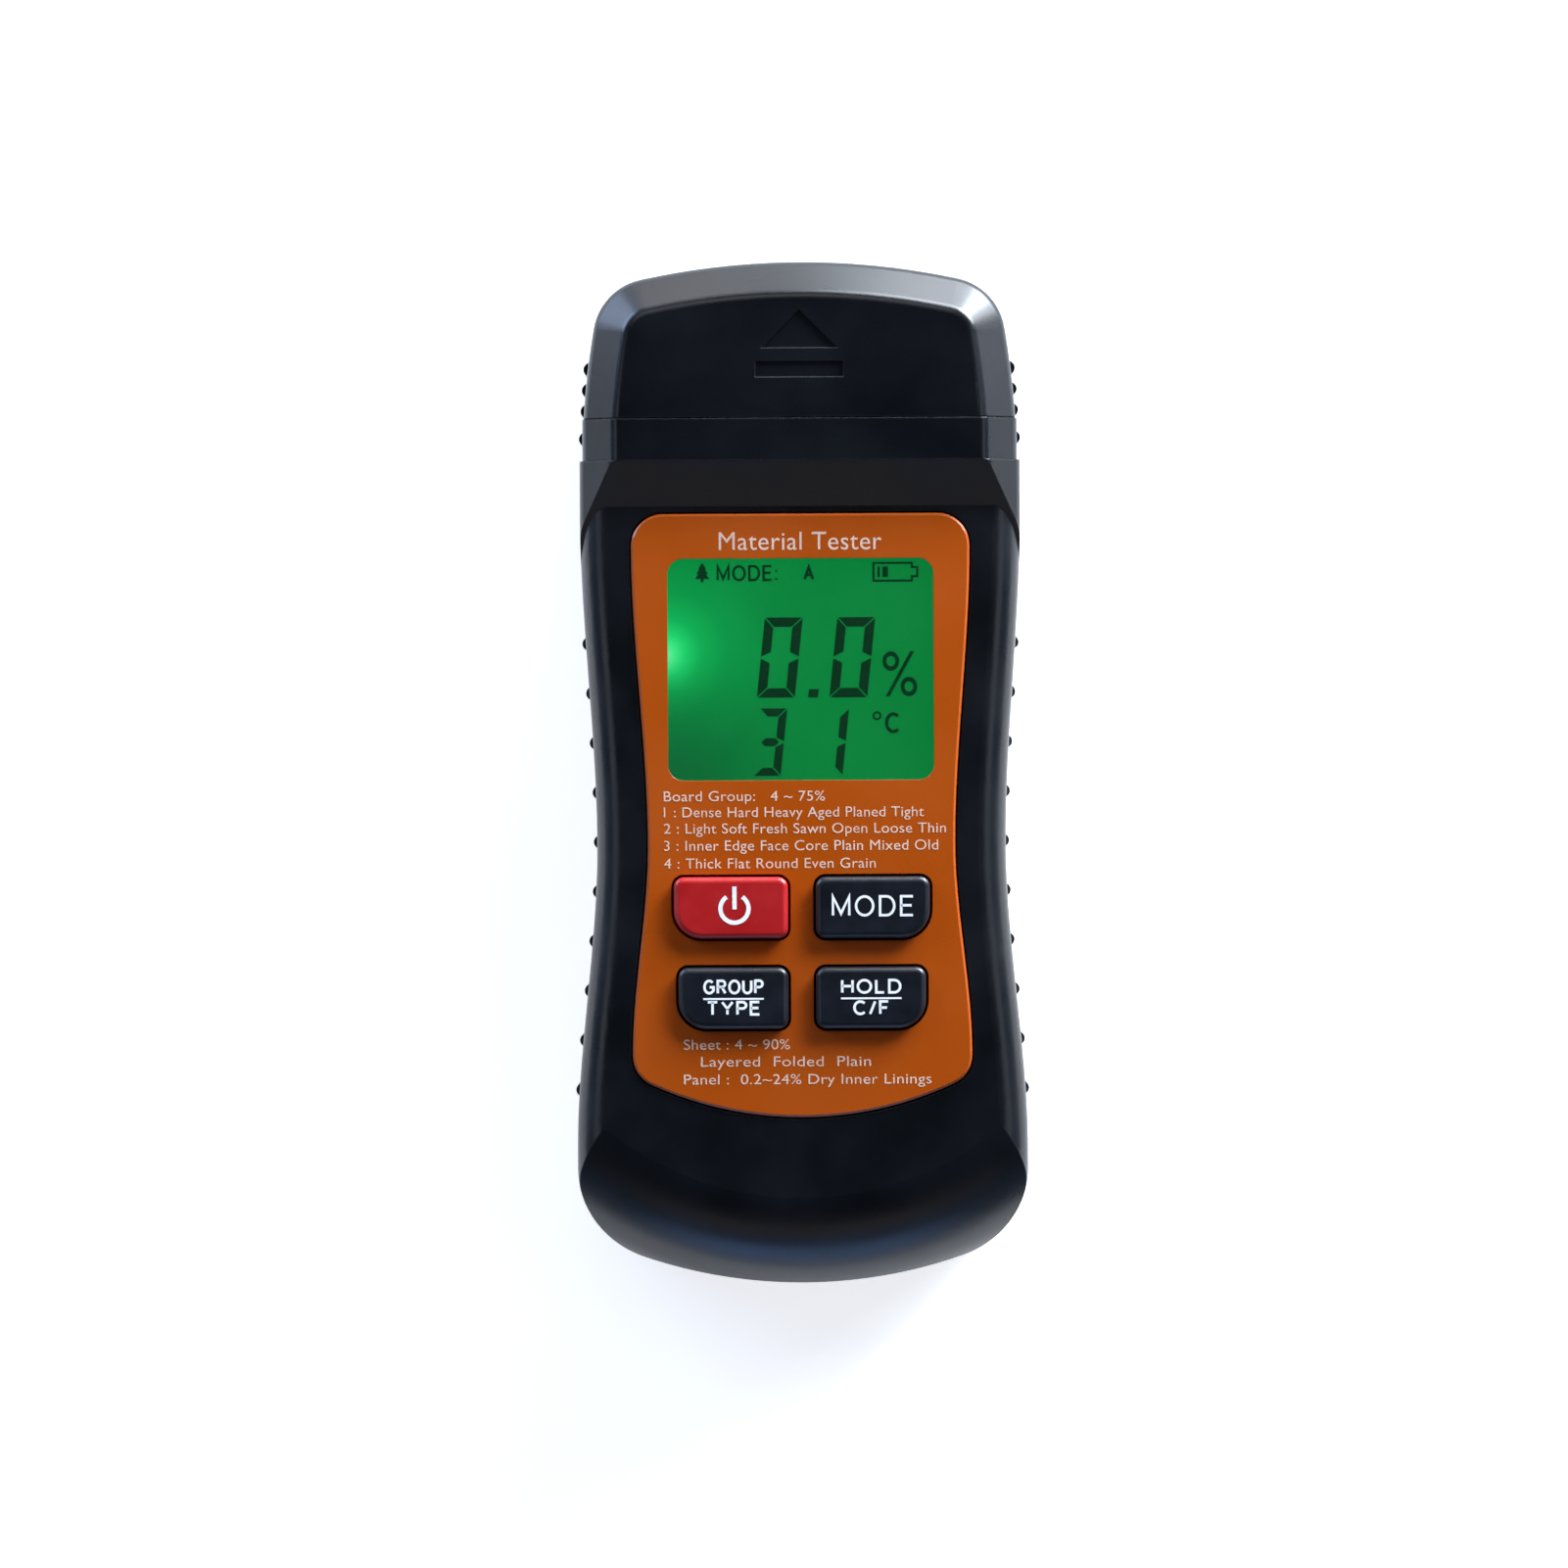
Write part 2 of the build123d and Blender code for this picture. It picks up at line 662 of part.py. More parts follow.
# ---- Side grips with their ribs ----
rib_radius = (rib_half_length**2 + rib_proud**2) / (2 * rib_proud)
for side, name in ((-1, "left_grip"), (1, "right_grip")):
    with BuildPart() as grip:
        extrude(case_outline(grip_low_z), amount=grip_high_z - grip_low_z)
        add(grip_pocket(side, grip_thickness), mode=Mode.INTERSECT)
        for number in range(rib_count):
            rib_y = collar_y - rib_first_from_head - rib_pitch * number
            rib_x = side * (case_half_width(rib_y) + rib_proud - rib_radius)
            with Locations((rib_x, rib_y, (grip_low_z + grip_high_z) / 2)):
                Cylinder(rib_radius, grip_high_z - grip_low_z - 2 * rib_end_gap)
    save(grip.part, name)

# ---- Faceplate ----
with BuildPart() as faceplate:
    extrude(plate_outline(plate_low_z), amount=plate_thickness)
    chamfer(faceplate.faces().sort_by(Axis.Z)[-1].outer_wire().edges(), length=plate_edge)
    extrude(window_outline(plate_low_z), amount=plate_thickness, mode=Mode.SUBTRACT)
    for place in key_places:
        extrude(key_outline(place, plate_low_z, key_hole_gap), amount=plate_thickness,
                mode=Mode.SUBTRACT)
save(faceplate.part, "faceplate")

# ---- Display: window, glass, light guide, lamp, frame and contact strip ----
window_high_z = plate_top_z - window_sink
with BuildPart() as display_window:
    extrude(window_outline(window_high_z - window_thickness, -window_gap), amount=window_thickness)
save(display_window.part, "display_window")

glass_half_width = frame_half_width - frame_wall - glass_gap
glass_half_height = frame_half_height - frame_wall - glass_gap
strip_y = window_y - glass_half_height + strip_width / 2 + strip_from_glass_edge
with BuildPart() as lcd_glass:
    with Locations((0, window_y, glass_low_z)):
        Box(2 * glass_half_width, 2 * glass_half_height, glass_thickness,
            align=(Align.CENTER, Align.CENTER, Align.MIN))
save(lcd_glass.part, "lcd_glass")

with BuildPart() as lcd_frame:
    extrude(frame_outline(board_top_z), amount=frame_top_z - board_top_z)
    with Locations((0, window_y, board_top_z)):
        Box(2 * (frame_half_width - frame_wall), 2 * (frame_half_height - frame_wall), depth,
            align=(Align.CENTER, Align.CENTER, Align.MIN), mode=Mode.SUBTRACT)
save(lcd_frame.part, "lcd_frame")

guide_low_y = strip_y + strip_width / 2 + strip_gap
guide_high_y = window_y + glass_half_height
guide_left_x = -glass_half_width + lamp_thickness + lamp_gap
with BuildPart() as light_guide:
    with Locations(((guide_left_x + glass_half_width) / 2, (guide_low_y + guide_high_y) / 2,
                    guide_top_z - guide_thickness)):
        Box(glass_half_width - guide_left_x, guide_high_y - guide_low_y, guide_thickness,
            align=(Align.CENTER, Align.CENTER, Align.MIN))
    chamfer(light_guide.edges().filter_by(Axis.Z), length=guide_corner)
save(light_guide.part, "light_guide")

with BuildPart() as backlight_lamp:
    with Locations((-glass_half_width, window_y + lamp_above_middle, board_top_z)):
        Box(lamp_thickness, lamp_width, guide_top_z - lamp_gap - board_top_z,
            align=(Align.MIN, Align.CENTER, Align.MIN))
    lens = backlight_lamp.faces().sort_by(Axis.X)[-1]
    chamfer(lens.edges().filter_by(Axis.Z), length=lamp_gap)
save(backlight_lamp.part, "backlight_lamp")

with BuildPart() as contact_strip:
    with Locations((0, strip_y, board_top_z)):
        Box(strip_length, strip_width, glass_low_z - board_top_z,
            align=(Align.CENTER, Align.CENTER, Align.MIN))
    fillet(contact_strip.edges().filter_by(Axis.Z), radius=strip_width / 5)
save(contact_strip.part, "contact_strip")

# ---- Keys with their carbon pills ----
key_top_z = plate_top_z + key_proud
flange_high_z = inner_front_z - key_flange_gap
flange_low_z = flange_high_z - key_flange_thickness
pill_low_z = board_top_z + pad_thickness + press_gap + key_travel
for name, place in zip(key_names, key_places):
    with BuildPart() as key:
        extrude(key_outline(place, flange_low_z), amount=key_top_z - flange_low_z)
        fillet(key.faces().sort_by(Axis.Z)[-1].edges(), radius=key_bevel)
        extrude(key_outline(place, flange_low_z, key_flange), amount=key_flange_thickness)
    save(key.part, name)
    with BuildPart() as pill:
        with Locations((place[0], place[1], pill_low_z)):
            Cylinder(pill_radius, flange_low_z - pill_low_z,
                     align=(Align.CENTER, Align.CENTER, Align.MIN))
    save(pill.part, name.replace("key", "pill"))

with BuildPart() as key_mat:
    with BuildSketch(Plane.XY.offset(board_top_z)):
        with Locations((0, foot_y + sum(key_rows_from_foot) / 2)):
            RectangleRounded(key_middle_gap + 2 * (key_widths[0] + mat_margin),
                             key_rows_from_foot[0] - key_rows_from_foot[1] + key_height
                             + 2 * mat_margin, mat_corner_radius)
        with Locations([(place[0], place[1]) for place in key_places]):
            Circle(mat_hole_radius, mode=Mode.SUBTRACT)
    extrude(amount=mat_thickness)
save(key_mat.part, "key_mat")

with BuildPart() as contact_pads:
    with Locations([(place[0], place[1], board_top_z) for place in key_places]):
        Cylinder(pad_radius, pad_thickness, align=(Align.CENTER, Align.CENTER, Align.MIN))
save(contact_pads.part, "contact_pads")

# ---- Circuit board ----
board_head_y = board_screw_ys[0] + board_boss_radius + board_screw_edge
board_foot_y = foot_y + board_foot_from_foot
lead_tail_y = board_head_y + board_tail_length - lead_tail_from_end
with BuildPart() as main_board:
    with BuildSketch(Plane.XY.offset(board_low_z)):
        with Locations((0, board_head_y)):
            Rectangle(2 * board_half_width, board_head_y - board_foot_y,
                      align=(Align.CENTER, Align.MAX))
            Rectangle(2 * board_tail_half_width, board_tail_length, align=(Align.CENTER, Align.MIN))
        with Locations(board_screw_points):
            Circle(board_screw_radius + board_screw_gap, mode=Mode.SUBTRACT)
    extrude(amount=board_thickness)
    fillet(main_board.edges().filter_by(Axis.Z).filter_by(GeomType.LINE), radius=board_corner_radius)
save(main_board.part, "main_board")

with BuildPart() as board_screws:
    for x, y in board_screw_points:
        with Locations((x, y, board_low_z)):
            Cylinder(board_head_radius, board_head_height, align=(Align.CENTER, Align.CENTER, Align.MAX))
            Cylinder(board_screw_radius, board_screw_length, align=(Align.CENTER, Align.CENTER, Align.MIN))
    with BuildSketch(Plane.XY.offset(board_low_z - board_head_height)):
        with Locations(board_screw_points):
            Rectangle(board_slot_length, board_slot_width)
            Rectangle(board_slot_width, board_slot_length)
    extrude(amount=board_slot_depth, mode=Mode.SUBTRACT)
save(board_screws.part, "board_screws")

chip_y = window_y - chip_below_window
chip_span = chip_size + 2 * chip_lead_reach
on_board = (Align.CENTER, Align.CENTER, Align.MAX)
with BuildPart() as controller_chip:
    with Locations((chip_x, chip_y, board_low_z - chip_lift)):
        Box(chip_size, chip_size, chip_height - chip_lift, align=on_board)
    with Locations((chip_x, chip_y, board_low_z)):
        with GridLocations(chip_lead_pitch, 1, chip_leads, 1):
            Box(chip_lead_width, chip_span, chip_lead_thickness, align=on_board)
        with GridLocations(1, chip_lead_pitch, 1, chip_leads):
            Box(chip_span, chip_lead_width, chip_lead_thickness, align=on_board)
    dot_offset = chip_size / 2 - chip_dot_inset
    with Locations((chip_x - dot_offset, chip_y - dot_offset, board_low_z - chip_height)):
        Cylinder(chip_dot_radius, chip_lead_thickness, mode=Mode.SUBTRACT)
save(controller_chip.part, "controller_chip")

with BuildPart() as buzzer:
    with Locations((buzzer_x, window_y, board_low_z)):
        Cylinder(buzzer_radius, buzzer_height, align=on_board)
    fillet(buzzer.faces().sort_by(Axis.Z)[0].edges(), radius=buzzer_round)
    with Locations((buzzer_x, window_y, board_low_z - buzzer_height)):
        Cylinder(buzzer_hole_radius, 2 * buzzer_hole_radius, mode=Mode.SUBTRACT)
save(buzzer.part, "buzzer")

with BuildPart() as timing_crystal:
    with BuildSketch(Plane.XY.offset(board_low_z)):
        with Locations((chip_x, chip_y + crystal_above_chip)):
            SlotOverall(crystal_length, crystal_width)
    extrude(amount=-crystal_height)
    fillet(timing_crystal.faces().sort_by(Axis.Z)[0].edges(), radius=crystal_round)
save(timing_crystal.part, "timing_crystal")

with BuildPart() as board_resistors:
    with Locations((resistor_x, window_y - resistor_below_window, board_low_z)):
        with GridLocations(*resistor_pitch, *resistor_grid):
            Box(*resistor_size, align=on_board)
save(board_resistors.part, "board_resistors")

with BuildPart() as temperature_sensor:
    with Locations((0, lead_tail_y, board_top_z + bead_radius)):
        Sphere(bead_radius)
    with Locations((0, lead_tail_y, board_top_z)):
        Cylinder(bead_foot_radius, bead_radius, align=(Align.CENTER, Align.CENTER, Align.MIN))
save(temperature_sensor.part, "temperature_sensor")

# ---- Housing screws ----
with BuildPart() as housing_screws:
    for x, y in screw_points:
        with Locations((x, y, screw_well_depth)):
            Cylinder(screw_head_radius, screw_head_height, align=(Align.CENTER, Align.CENTER, Align.MAX))
            Cylinder(screw_radius, screw_tip_z - screw_well_depth,
                     align=(Align.CENTER, Align.CENTER, Align.MIN))
    head_rims = housing_screws.edges().filter_by(GeomType.CIRCLE).group_by(Axis.Z)[0]
    fillet(head_rims, radius=screw_head_round)
    with BuildSketch(Plane.XY.offset(screw_well_depth - screw_head_height)):
        with Locations(screw_points):
            Rectangle(screw_slot_length, screw_slot_width)
            Rectangle(screw_slot_width, screw_slot_length)
    extrude(amount=screw_slot_depth, mode=Mode.SUBTRACT)
save(housing_screws.part, "housing_screws")

# ---- Battery, foam pad, snap connector and its leads ----
battery_mid_z = battery_low_z + battery_thick / 2
with BuildPart() as battery:
    with Locations((0, battery_y, battery_low_z)):
        Box(battery_width, battery_length, battery_thick, align=(Align.CENTER, Align.MIN, Align.MIN))
    fillet(battery.edges().filter_by(Axis.Y), radius=battery_round)
    with BuildSketch(Plane.XZ.offset(-battery_top_y)):
        with Locations((terminal_spacing / 2, battery_mid_z)):
            Circle(stud_radius)
        with Locations((-terminal_spacing / 2, battery_mid_z)):
            RegularPolygon(socket_radius, 6)
    extrude(amount=-terminal_height)
    with BuildSketch(Plane.XZ.offset(-battery_top_y - terminal_height)):
        with Locations((-terminal_spacing / 2, battery_mid_z)):
            Circle(stud_radius)
    extrude(amount=terminal_height - 3 * snap_gap, mode=Mode.SUBTRACT)
save(battery.part, "battery")

with BuildPart() as battery_pad:
    with Locations((0, bay_low_y, battery_mid_z)):
        Box(battery_width - 2 * battery_round, pad_length, battery_thick - 2 * battery_round,
            align=(Align.CENTER, Align.MIN, Align.CENTER))
    fillet(battery_pad.edges().filter_by(Axis.Y), radius=pad_length)
save(battery_pad.part, "battery_pad")

snap_y = battery_top_y + snap_gap
with BuildPart() as battery_snap:
    with Locations((0, snap_y, battery_mid_z)):
        Box(snap_width, snap_thickness, snap_height, align=(Align.CENTER, Align.MIN, Align.CENTER))
    fillet(battery_snap.edges().filter_by(Axis.Y), radius=snap_round)
    with BuildSketch(Plane.XZ.offset(-snap_y)):
        with Locations((terminal_spacing / 2, battery_mid_z)):
            Circle(stud_radius + snap_gap)
        with Locations((-terminal_spacing / 2, battery_mid_z)):
            Circle(socket_radius + snap_gap)
    extrude(amount=-(terminal_height + snap_gap), mode=Mode.SUBTRACT)
save(battery_snap.part, "battery_snap")


def wire(points, bend):
    """Round wire along straight runs with one bend radius."""
    with BuildPart() as run:
        with BuildLine():
            path = FilletPolyline(*points, radius=bend)
        with BuildSketch(Plane(origin=path @ 0, z_dir=path % 0)):
            Circle(lead_radius)
        sweep(path=path)
    return run.part


for side, name in ((-1, "red_battery_lead"), (1, "black_battery_lead")):
    lead_x = side * lead_spacing / 2
    turn_y = bay_top_y + bay_wall + lead_run
    route = ((lead_x, snap_y + snap_thickness, lead_z), (lead_x, turn_y, lead_z),
             (lead_x, turn_y, board_low_z))
    save(wire(route, lead_bend), name)

# ---- Battery door: plate, side tongues and finger grooves ----
door_blank_length = door_top_y - foot_y
with BuildPart() as battery_door:
    with Locations((0, door_top_y, door_low_z)):
        Box(2 * door_half_width, door_blank_length, door_thickness,
            align=(Align.CENTER, Align.MAX, Align.MIN))
    with Locations((0, door_top_y, tongue_low_z)):
        Box(2 * (door_half_width + door_tongue), door_blank_length, door_tongue_thickness,
            align=(Align.CENTER, Align.MAX, Align.MIN))
    add(case_form.part, mode=Mode.INTERSECT)
    with BuildSketch(Plane.XY.offset(door_low_z)):
        with Locations((0, door_top_y - door_grip_from_top)):
            with GridLocations(1, door_grip_pitch, 1, door_grip_count):
                SlotOverall(door_grip_width, door_grip_height)
        with Locations((0, door_top_y - door_arrow_from_top)):
            Triangle(a=door_arrow_width, b=door_arrow_side, c=door_arrow_side,
                     align=(Align.CENTER, Align.CENTER), rotation=180)
    extrude(amount=door_mark_depth, mode=Mode.SUBTRACT)
save(battery_door.part, "battery_door")

# ---- Collar: band, neck for the cap and spigot into the shells ----
neck_end_y = cap_rim_y + neck_length
neck_half_width = cap_half_width(neck_end_y) - cap_wall - cap_gap
neck_low_z = cap_wall + cap_gap
neck_high_z = depth - cap_wall - cap_gap


def neck_section(y, inset):
    """Cross-section of the neck on the plane at y, drawn in by inset."""
    with BuildSketch(Plane.XZ.offset(-y)) as section:
        with Locations((0, (neck_low_z + neck_high_z) / 2)):
            RectangleRounded(2 * (neck_half_width - inset), neck_high_z - neck_low_z - 2 * inset,
                             neck_corner_radius - inset / 2)
    return section.sketch


with BuildPart() as head_collar:
    extrude(head_section(collar_y), amount=-(collar_length - cap_seam))
    extrude(neck_section(collar_y, 0), amount=-(collar_length + neck_length))
    with Locations((0, collar_y, mouth_low_z)):
        Box(2 * neck_half_width, spigot_length, mouth_high_z - mouth_low_z,
            align=(Align.CENTER, Align.MAX, Align.MIN))
    extrude(neck_section(collar_y, neck_wall), amount=-(collar_length + neck_length), mode=Mode.SUBTRACT)
    with Locations((0, collar_y, mouth_low_z + neck_wall)):
        Box(2 * (neck_half_width - neck_wall), 2 * spigot_length,
            mouth_high_z - mouth_low_z - 2 * neck_wall,
            align=(Align.CENTER, Align.CENTER, Align.MIN), mode=Mode.SUBTRACT)
    head_rib_radius = (rib_half_length**2 + head_rib_proud**2) / (2 * head_rib_proud)
    rib_height = depth - head_bevel - case_back_round - 2 * head_rib_end_gap
    rib_x = collar_half_width + head_rib_proud - head_rib_radius
    with Locations([(side * rib_x, cap_rim_y - collar_rib_from_rim, depth / 2) for side in (-1, 1)]):
        Cylinder(head_rib_radius, rib_height)
save(head_collar.part, "head_collar")

# ---- Pin block, sockets, pins and their leads ----
block_y = neck_end_y - block_thickness
pin_xs = (-pin_spacing / 2, pin_spacing / 2)
pin_points = [(x, pin_z) for x in pin_xs]
with BuildPart() as pin_block:
    extrude(neck_section(block_y, neck_wall), amount=-block_thickness)
    with BuildSketch(Plane.XZ.offset(-neck_end_y)):
        with Locations(pin_points):
            Circle(block_boss_radius)
    extrude(amount=-block_boss)
    with BuildSketch(Plane.XZ.offset(-block_y)):
        with Locations(pin_points):
            Circle(socket_sleeve_radius)
    extrude(amount=-(block_thickness + block_boss), mode=Mode.SUBTRACT)
save(pin_block.part, "pin_block")

block_face_y = neck_end_y + block_boss
socket_end_y = block_face_y + socket_collar_length
for x, side_name in zip(pin_xs, ("left", "right")):
    with BuildPart() as pin_socket:
        with BuildSketch(Plane.XZ.offset(-(block_face_y - socket_sleeve_length))):
            with Locations((x, pin_z)):
                Circle(socket_sleeve_radius)
        extrude(amount=-socket_sleeve_length)
        with BuildSketch(Plane.XZ.offset(-block_face_y)):
            with Locations((x, pin_z)):
                RegularPolygon(socket_collar_radius, 6)
        extrude(amount=-socket_collar_length)
        with BuildSketch(Plane.XZ.offset(-(socket_end_y - pin_thread_length))):
            with Locations((x, pin_z)):
                Circle(pin_thread_radius)
        extrude(amount=-pin_thread_length, mode=Mode.SUBTRACT)
    save(pin_socket.part, f"{side_name}_pin_socket")

    thread_y = socket_end_y - pin_thread_length
    tip_y = socket_end_y + pin_exposed
    with BuildPart() as pin:
        with BuildSketch(Plane.XY.offset(pin_z)):
            with BuildLine():
                Polyline((x, thread_y), (x + pin_thread_radius, thread_y),
                         (x + pin_thread_radius, socket_end_y),
                         (x + pin_radius, socket_end_y + pin_shoulder),
                         (x + pin_radius, tip_y - pin_tip_length), (x + pin_point_radius, tip_y),
                         (x, tip_y), (x, thread_y))
            make_face()
        revolve(axis=Axis((x, 0, pin_z), (0, 1, 0)))
    save(pin.part, f"{side_name}_pin")

    tail_y = block_face_y - socket_sleeve_length
    route = ((x, tail_y, pin_z), (x, lead_tail_y, pin_z), (x, lead_tail_y, board_low_z))
    save(wire(route, pin_lead_bend), f"{side_name}_pin_lead")

# ---- Cap ----
with BuildPart() as cap:
    add(rounded_slab(cap_outline(0), depth, case_back_round, head_bevel_round, cap_rim_y, head_bevel))
    for number in range(head_rib_count):
        rib_y = cap_rim_y + head_rib_first + head_rib_pitch * number
        rib_x = cap_half_width(rib_y) + head_rib_proud - head_rib_radius
        with Locations([(side * rib_x, rib_y, depth / 2) for side in (-1, 1)]):
            Cylinder(head_rib_radius, rib_height)
    add(rounded_slab(cap_outline(cap_wall, cap_wall), depth - 2 * cap_wall, cap_wall / 2,
                     neck_corner_radius, cap_rim_y + cap_wall), mode=Mode.SUBTRACT)
    with BuildSketch(Plane.XZ.offset(-cap_rim_y)):
        with Locations((0, depth / 2)):
            RectangleRounded(2 * (cap_rim_half_width - cap_wall), depth - 2 * cap_wall,
                             neck_corner_radius)
    extrude(amount=-(cap_wall + seat_gap), mode=Mode.SUBTRACT)
    bar_y = cap_rim_y + sign_bar_from_rim
    triangle_y = bar_y + sign_bar_height + sign_gap
    with BuildSketch(Plane.XY.offset(depth)):
        with BuildLine():
            Polyline((-sign_triangle_half_width, triangle_y), (sign_triangle_half_width, triangle_y),
                     (0, triangle_y + sign_triangle_half_width), close=True)
        make_face()
        with Locations((0, bar_y)):
            Rectangle(sign_bar_width, sign_bar_height, align=(Align.CENTER, Align.MIN))
    extrude(amount=-sign_depth, mode=Mode.SUBTRACT)
save(cap.part, "cap")
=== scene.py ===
"""Looks of a hand-held pin-type moisture meter: finishes, display figures, lettering and studio.

Lengths are written in millimetres and turned to metres where a mesh, lamp or camera is made.
"""

import logging
import math
from dataclasses import dataclass, field, replace
from enum import Enum

import bmesh
import bpy
from mathutils import Matrix, Vector


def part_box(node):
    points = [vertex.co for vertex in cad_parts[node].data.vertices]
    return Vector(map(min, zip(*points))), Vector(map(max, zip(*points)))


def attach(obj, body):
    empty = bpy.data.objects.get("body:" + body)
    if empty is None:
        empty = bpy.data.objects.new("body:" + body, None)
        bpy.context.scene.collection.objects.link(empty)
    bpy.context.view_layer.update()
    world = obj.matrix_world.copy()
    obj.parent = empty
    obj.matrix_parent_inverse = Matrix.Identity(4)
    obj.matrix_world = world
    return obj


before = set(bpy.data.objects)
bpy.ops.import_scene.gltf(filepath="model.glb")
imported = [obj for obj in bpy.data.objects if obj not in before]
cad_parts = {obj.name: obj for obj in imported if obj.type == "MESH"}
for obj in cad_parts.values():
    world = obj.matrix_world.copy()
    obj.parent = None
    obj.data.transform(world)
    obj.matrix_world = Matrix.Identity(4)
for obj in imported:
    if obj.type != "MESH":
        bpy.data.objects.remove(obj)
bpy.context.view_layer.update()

LOG = logging.getLogger("moisture_meter")
MM = 0.001
Point = tuple[float, float]


class Axis(Enum):
    """A direction in the row frame, by the number of its coordinate."""

    X = 0
    Y = 1
    Z = 2


# ---- Small helpers ----


def linear(code: str) -> tuple[float, float, float, float]:
    """Turns an sRGB hex colour to linear light.

    Args:
        code: the colour as "#RRGGBB".

    Returns:
        Red, green, blue and a full alpha, from 0 to 1.
    """
    shares = [int(code[i : i + 2], 16) / 255 for i in (1, 3, 5)]
    toe, slope, offset, power = 0.04045, 12.92, 0.055, 2.4
    red, green, blue = (
        s / slope if s <= toe else ((s + offset) / (1 + offset)) ** power for s in shares
    )
    return red, green, blue, 1.0


def add_node(tree: bpy.types.NodeTree, kind: str, inputs: dict | None = None,
             **settings: object) -> bpy.types.Node:
    """Adds one node with its settings and its inputs.

    Args:
        tree: the node tree that takes it.
        kind: Blender's name for the node.
        inputs: a value, or an output to link from, for each input by its name or number.
        settings: the node's own attributes.

    Returns:
        The new node.
    """
    node = tree.nodes.new(kind)
    for key, value in settings.items():
        setattr(node, key, value)
    for key, value in (inputs or {}).items():
        if isinstance(value, bpy.types.NodeSocket):
            tree.links.new(value, node.inputs[key])
        else:
            node.inputs[key].default_value = value
    return node


def box(node: str) -> tuple[Vector, Vector]:
    """Gives a CAD node's lowest and highest corners in millimetres."""
    low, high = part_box(node)
    return low / MM, high / MM


def middle(node: str) -> Vector:
    """Gives the middle of a CAD node's box in millimetres."""
    low, high = box(node)
    return (low + high) / 2


def per_metre(size_mm: float) -> float:
    """Gives the texture scale whose pattern repeats about every size_mm."""
    return 1 / (size_mm * MM)


# ---- Finishes ----


@dataclass(frozen=True)
class Grained:
    """A moulded, cast, printed or rolled surface with two close tones and a fine relief.

    The tones drift over patches of tone_mm, the relief is grain_mm wide and relief_mm high, and the
    roughness wanders by roughness_spread over the same patches.
    """

    name: str
    shade: str
    tint: str
    tone_mm: float
    grain_mm: float
    relief_mm: float
    roughness: float
    roughness_spread: float = 0.04
    ior: float = 1.5
    metallic: float = 0.0
    coat: float = 0.0
    coat_roughness: float = 0.1
    sheen: float = 0.0
    subsurface: float = 0.0
    transmission: float = 0.0
    specular: float = 0.5
    detail: float = 3.0
    edge_mm: float = 0.0

    def material(self) -> bpy.types.Material:
        """Builds the material, or gives the one built before.

        Returns:
            The material with this finish's name.
        """
        known = bpy.data.materials.get(self.name)
        if known:
            return known
        material = bpy.data.materials.new(self.name)
        material.use_nodes = True
        tree = material.node_tree
        tree.nodes.clear()
        place = add_node(tree, "ShaderNodeTexCoord").outputs["Object"]
        patches = add_node(tree, "ShaderNodeTexNoise", {
            "Vector": place, "Scale": per_metre(self.tone_mm), "Detail": self.detail}).outputs["Fac"]
        relief = add_node(tree, "ShaderNodeTexNoise", {
            "Vector": place, "Scale": per_metre(self.grain_mm), "Detail": 1.0}).outputs["Fac"]
        shader = add_node(tree, "ShaderNodeBsdfPrincipled", {
            "Base Color": self.tone(tree, place, patches),
            "Roughness": add_node(tree, "ShaderNodeMapRange", {
                "Value": patches, "From Min": 0.3, "From Max": 0.7,
                "To Min": self.roughness - self.roughness_spread,
                "To Max": self.roughness + self.roughness_spread}).outputs["Result"],
            "Metallic": self.metallic,
            "Coat Weight": self.coat,
            "Coat Roughness": self.coat_roughness,
            "Sheen Weight": self.sheen,
            "Subsurface Weight": self.subsurface,
            "Transmission Weight": self.transmission,
            "Specular IOR Level": self.specular})
        if not self.metallic:
            shader.inputs["IOR"].default_value = self.ior
        if self.subsurface:
            shader.inputs["Subsurface Scale"].default_value = MM
        bump = add_node(tree, "ShaderNodeBump", {
            "Height": relief, "Distance": self.relief_mm * MM, "Strength": 1.0})
        if self.edge_mm:
            edge = add_node(tree, "ShaderNodeBevel", {"Radius": self.edge_mm * MM}, samples=4)
            tree.links.new(edge.outputs["Normal"], bump.inputs["Normal"])
        tree.links.new(bump.outputs["Normal"], shader.inputs["Normal"])
        self.light_up(tree, place, patches, shader)
        add_node(tree, "ShaderNodeOutputMaterial", {"Surface": shader.outputs["BSDF"]})
        return material

    def tone(self, tree: bpy.types.NodeTree, place: bpy.types.NodeSocket,
             patches: bpy.types.NodeSocket) -> bpy.types.NodeSocket:
        """Mixes the two tones over the patches.

        Args:
            tree: the material's node tree.
            place: the point on the object; not used.
            patches: the slow noise from 0 to 1.

        Returns:
            The colour output.
        """
        mix = add_node(tree, "ShaderNodeMix", {
            0: add_node(tree, "ShaderNodeMapRange", {
                "Value": patches, "From Min": 0.35, "From Max": 0.65}).outputs["Result"]},
            data_type="RGBA")
        for socket, code in zip([s for s in mix.inputs if s.type == "RGBA"], (self.shade, self.tint)):
            socket.default_value = linear(code)
        return next(s for s in mix.outputs if s.type == "RGBA")

    def light_up(self, tree: bpy.types.NodeTree, place: bpy.types.NodeSocket,
                 patches: bpy.types.NodeSocket, shader: bpy.types.Node) -> None:
        """Adds the finish's own light; an unlit surface has none."""


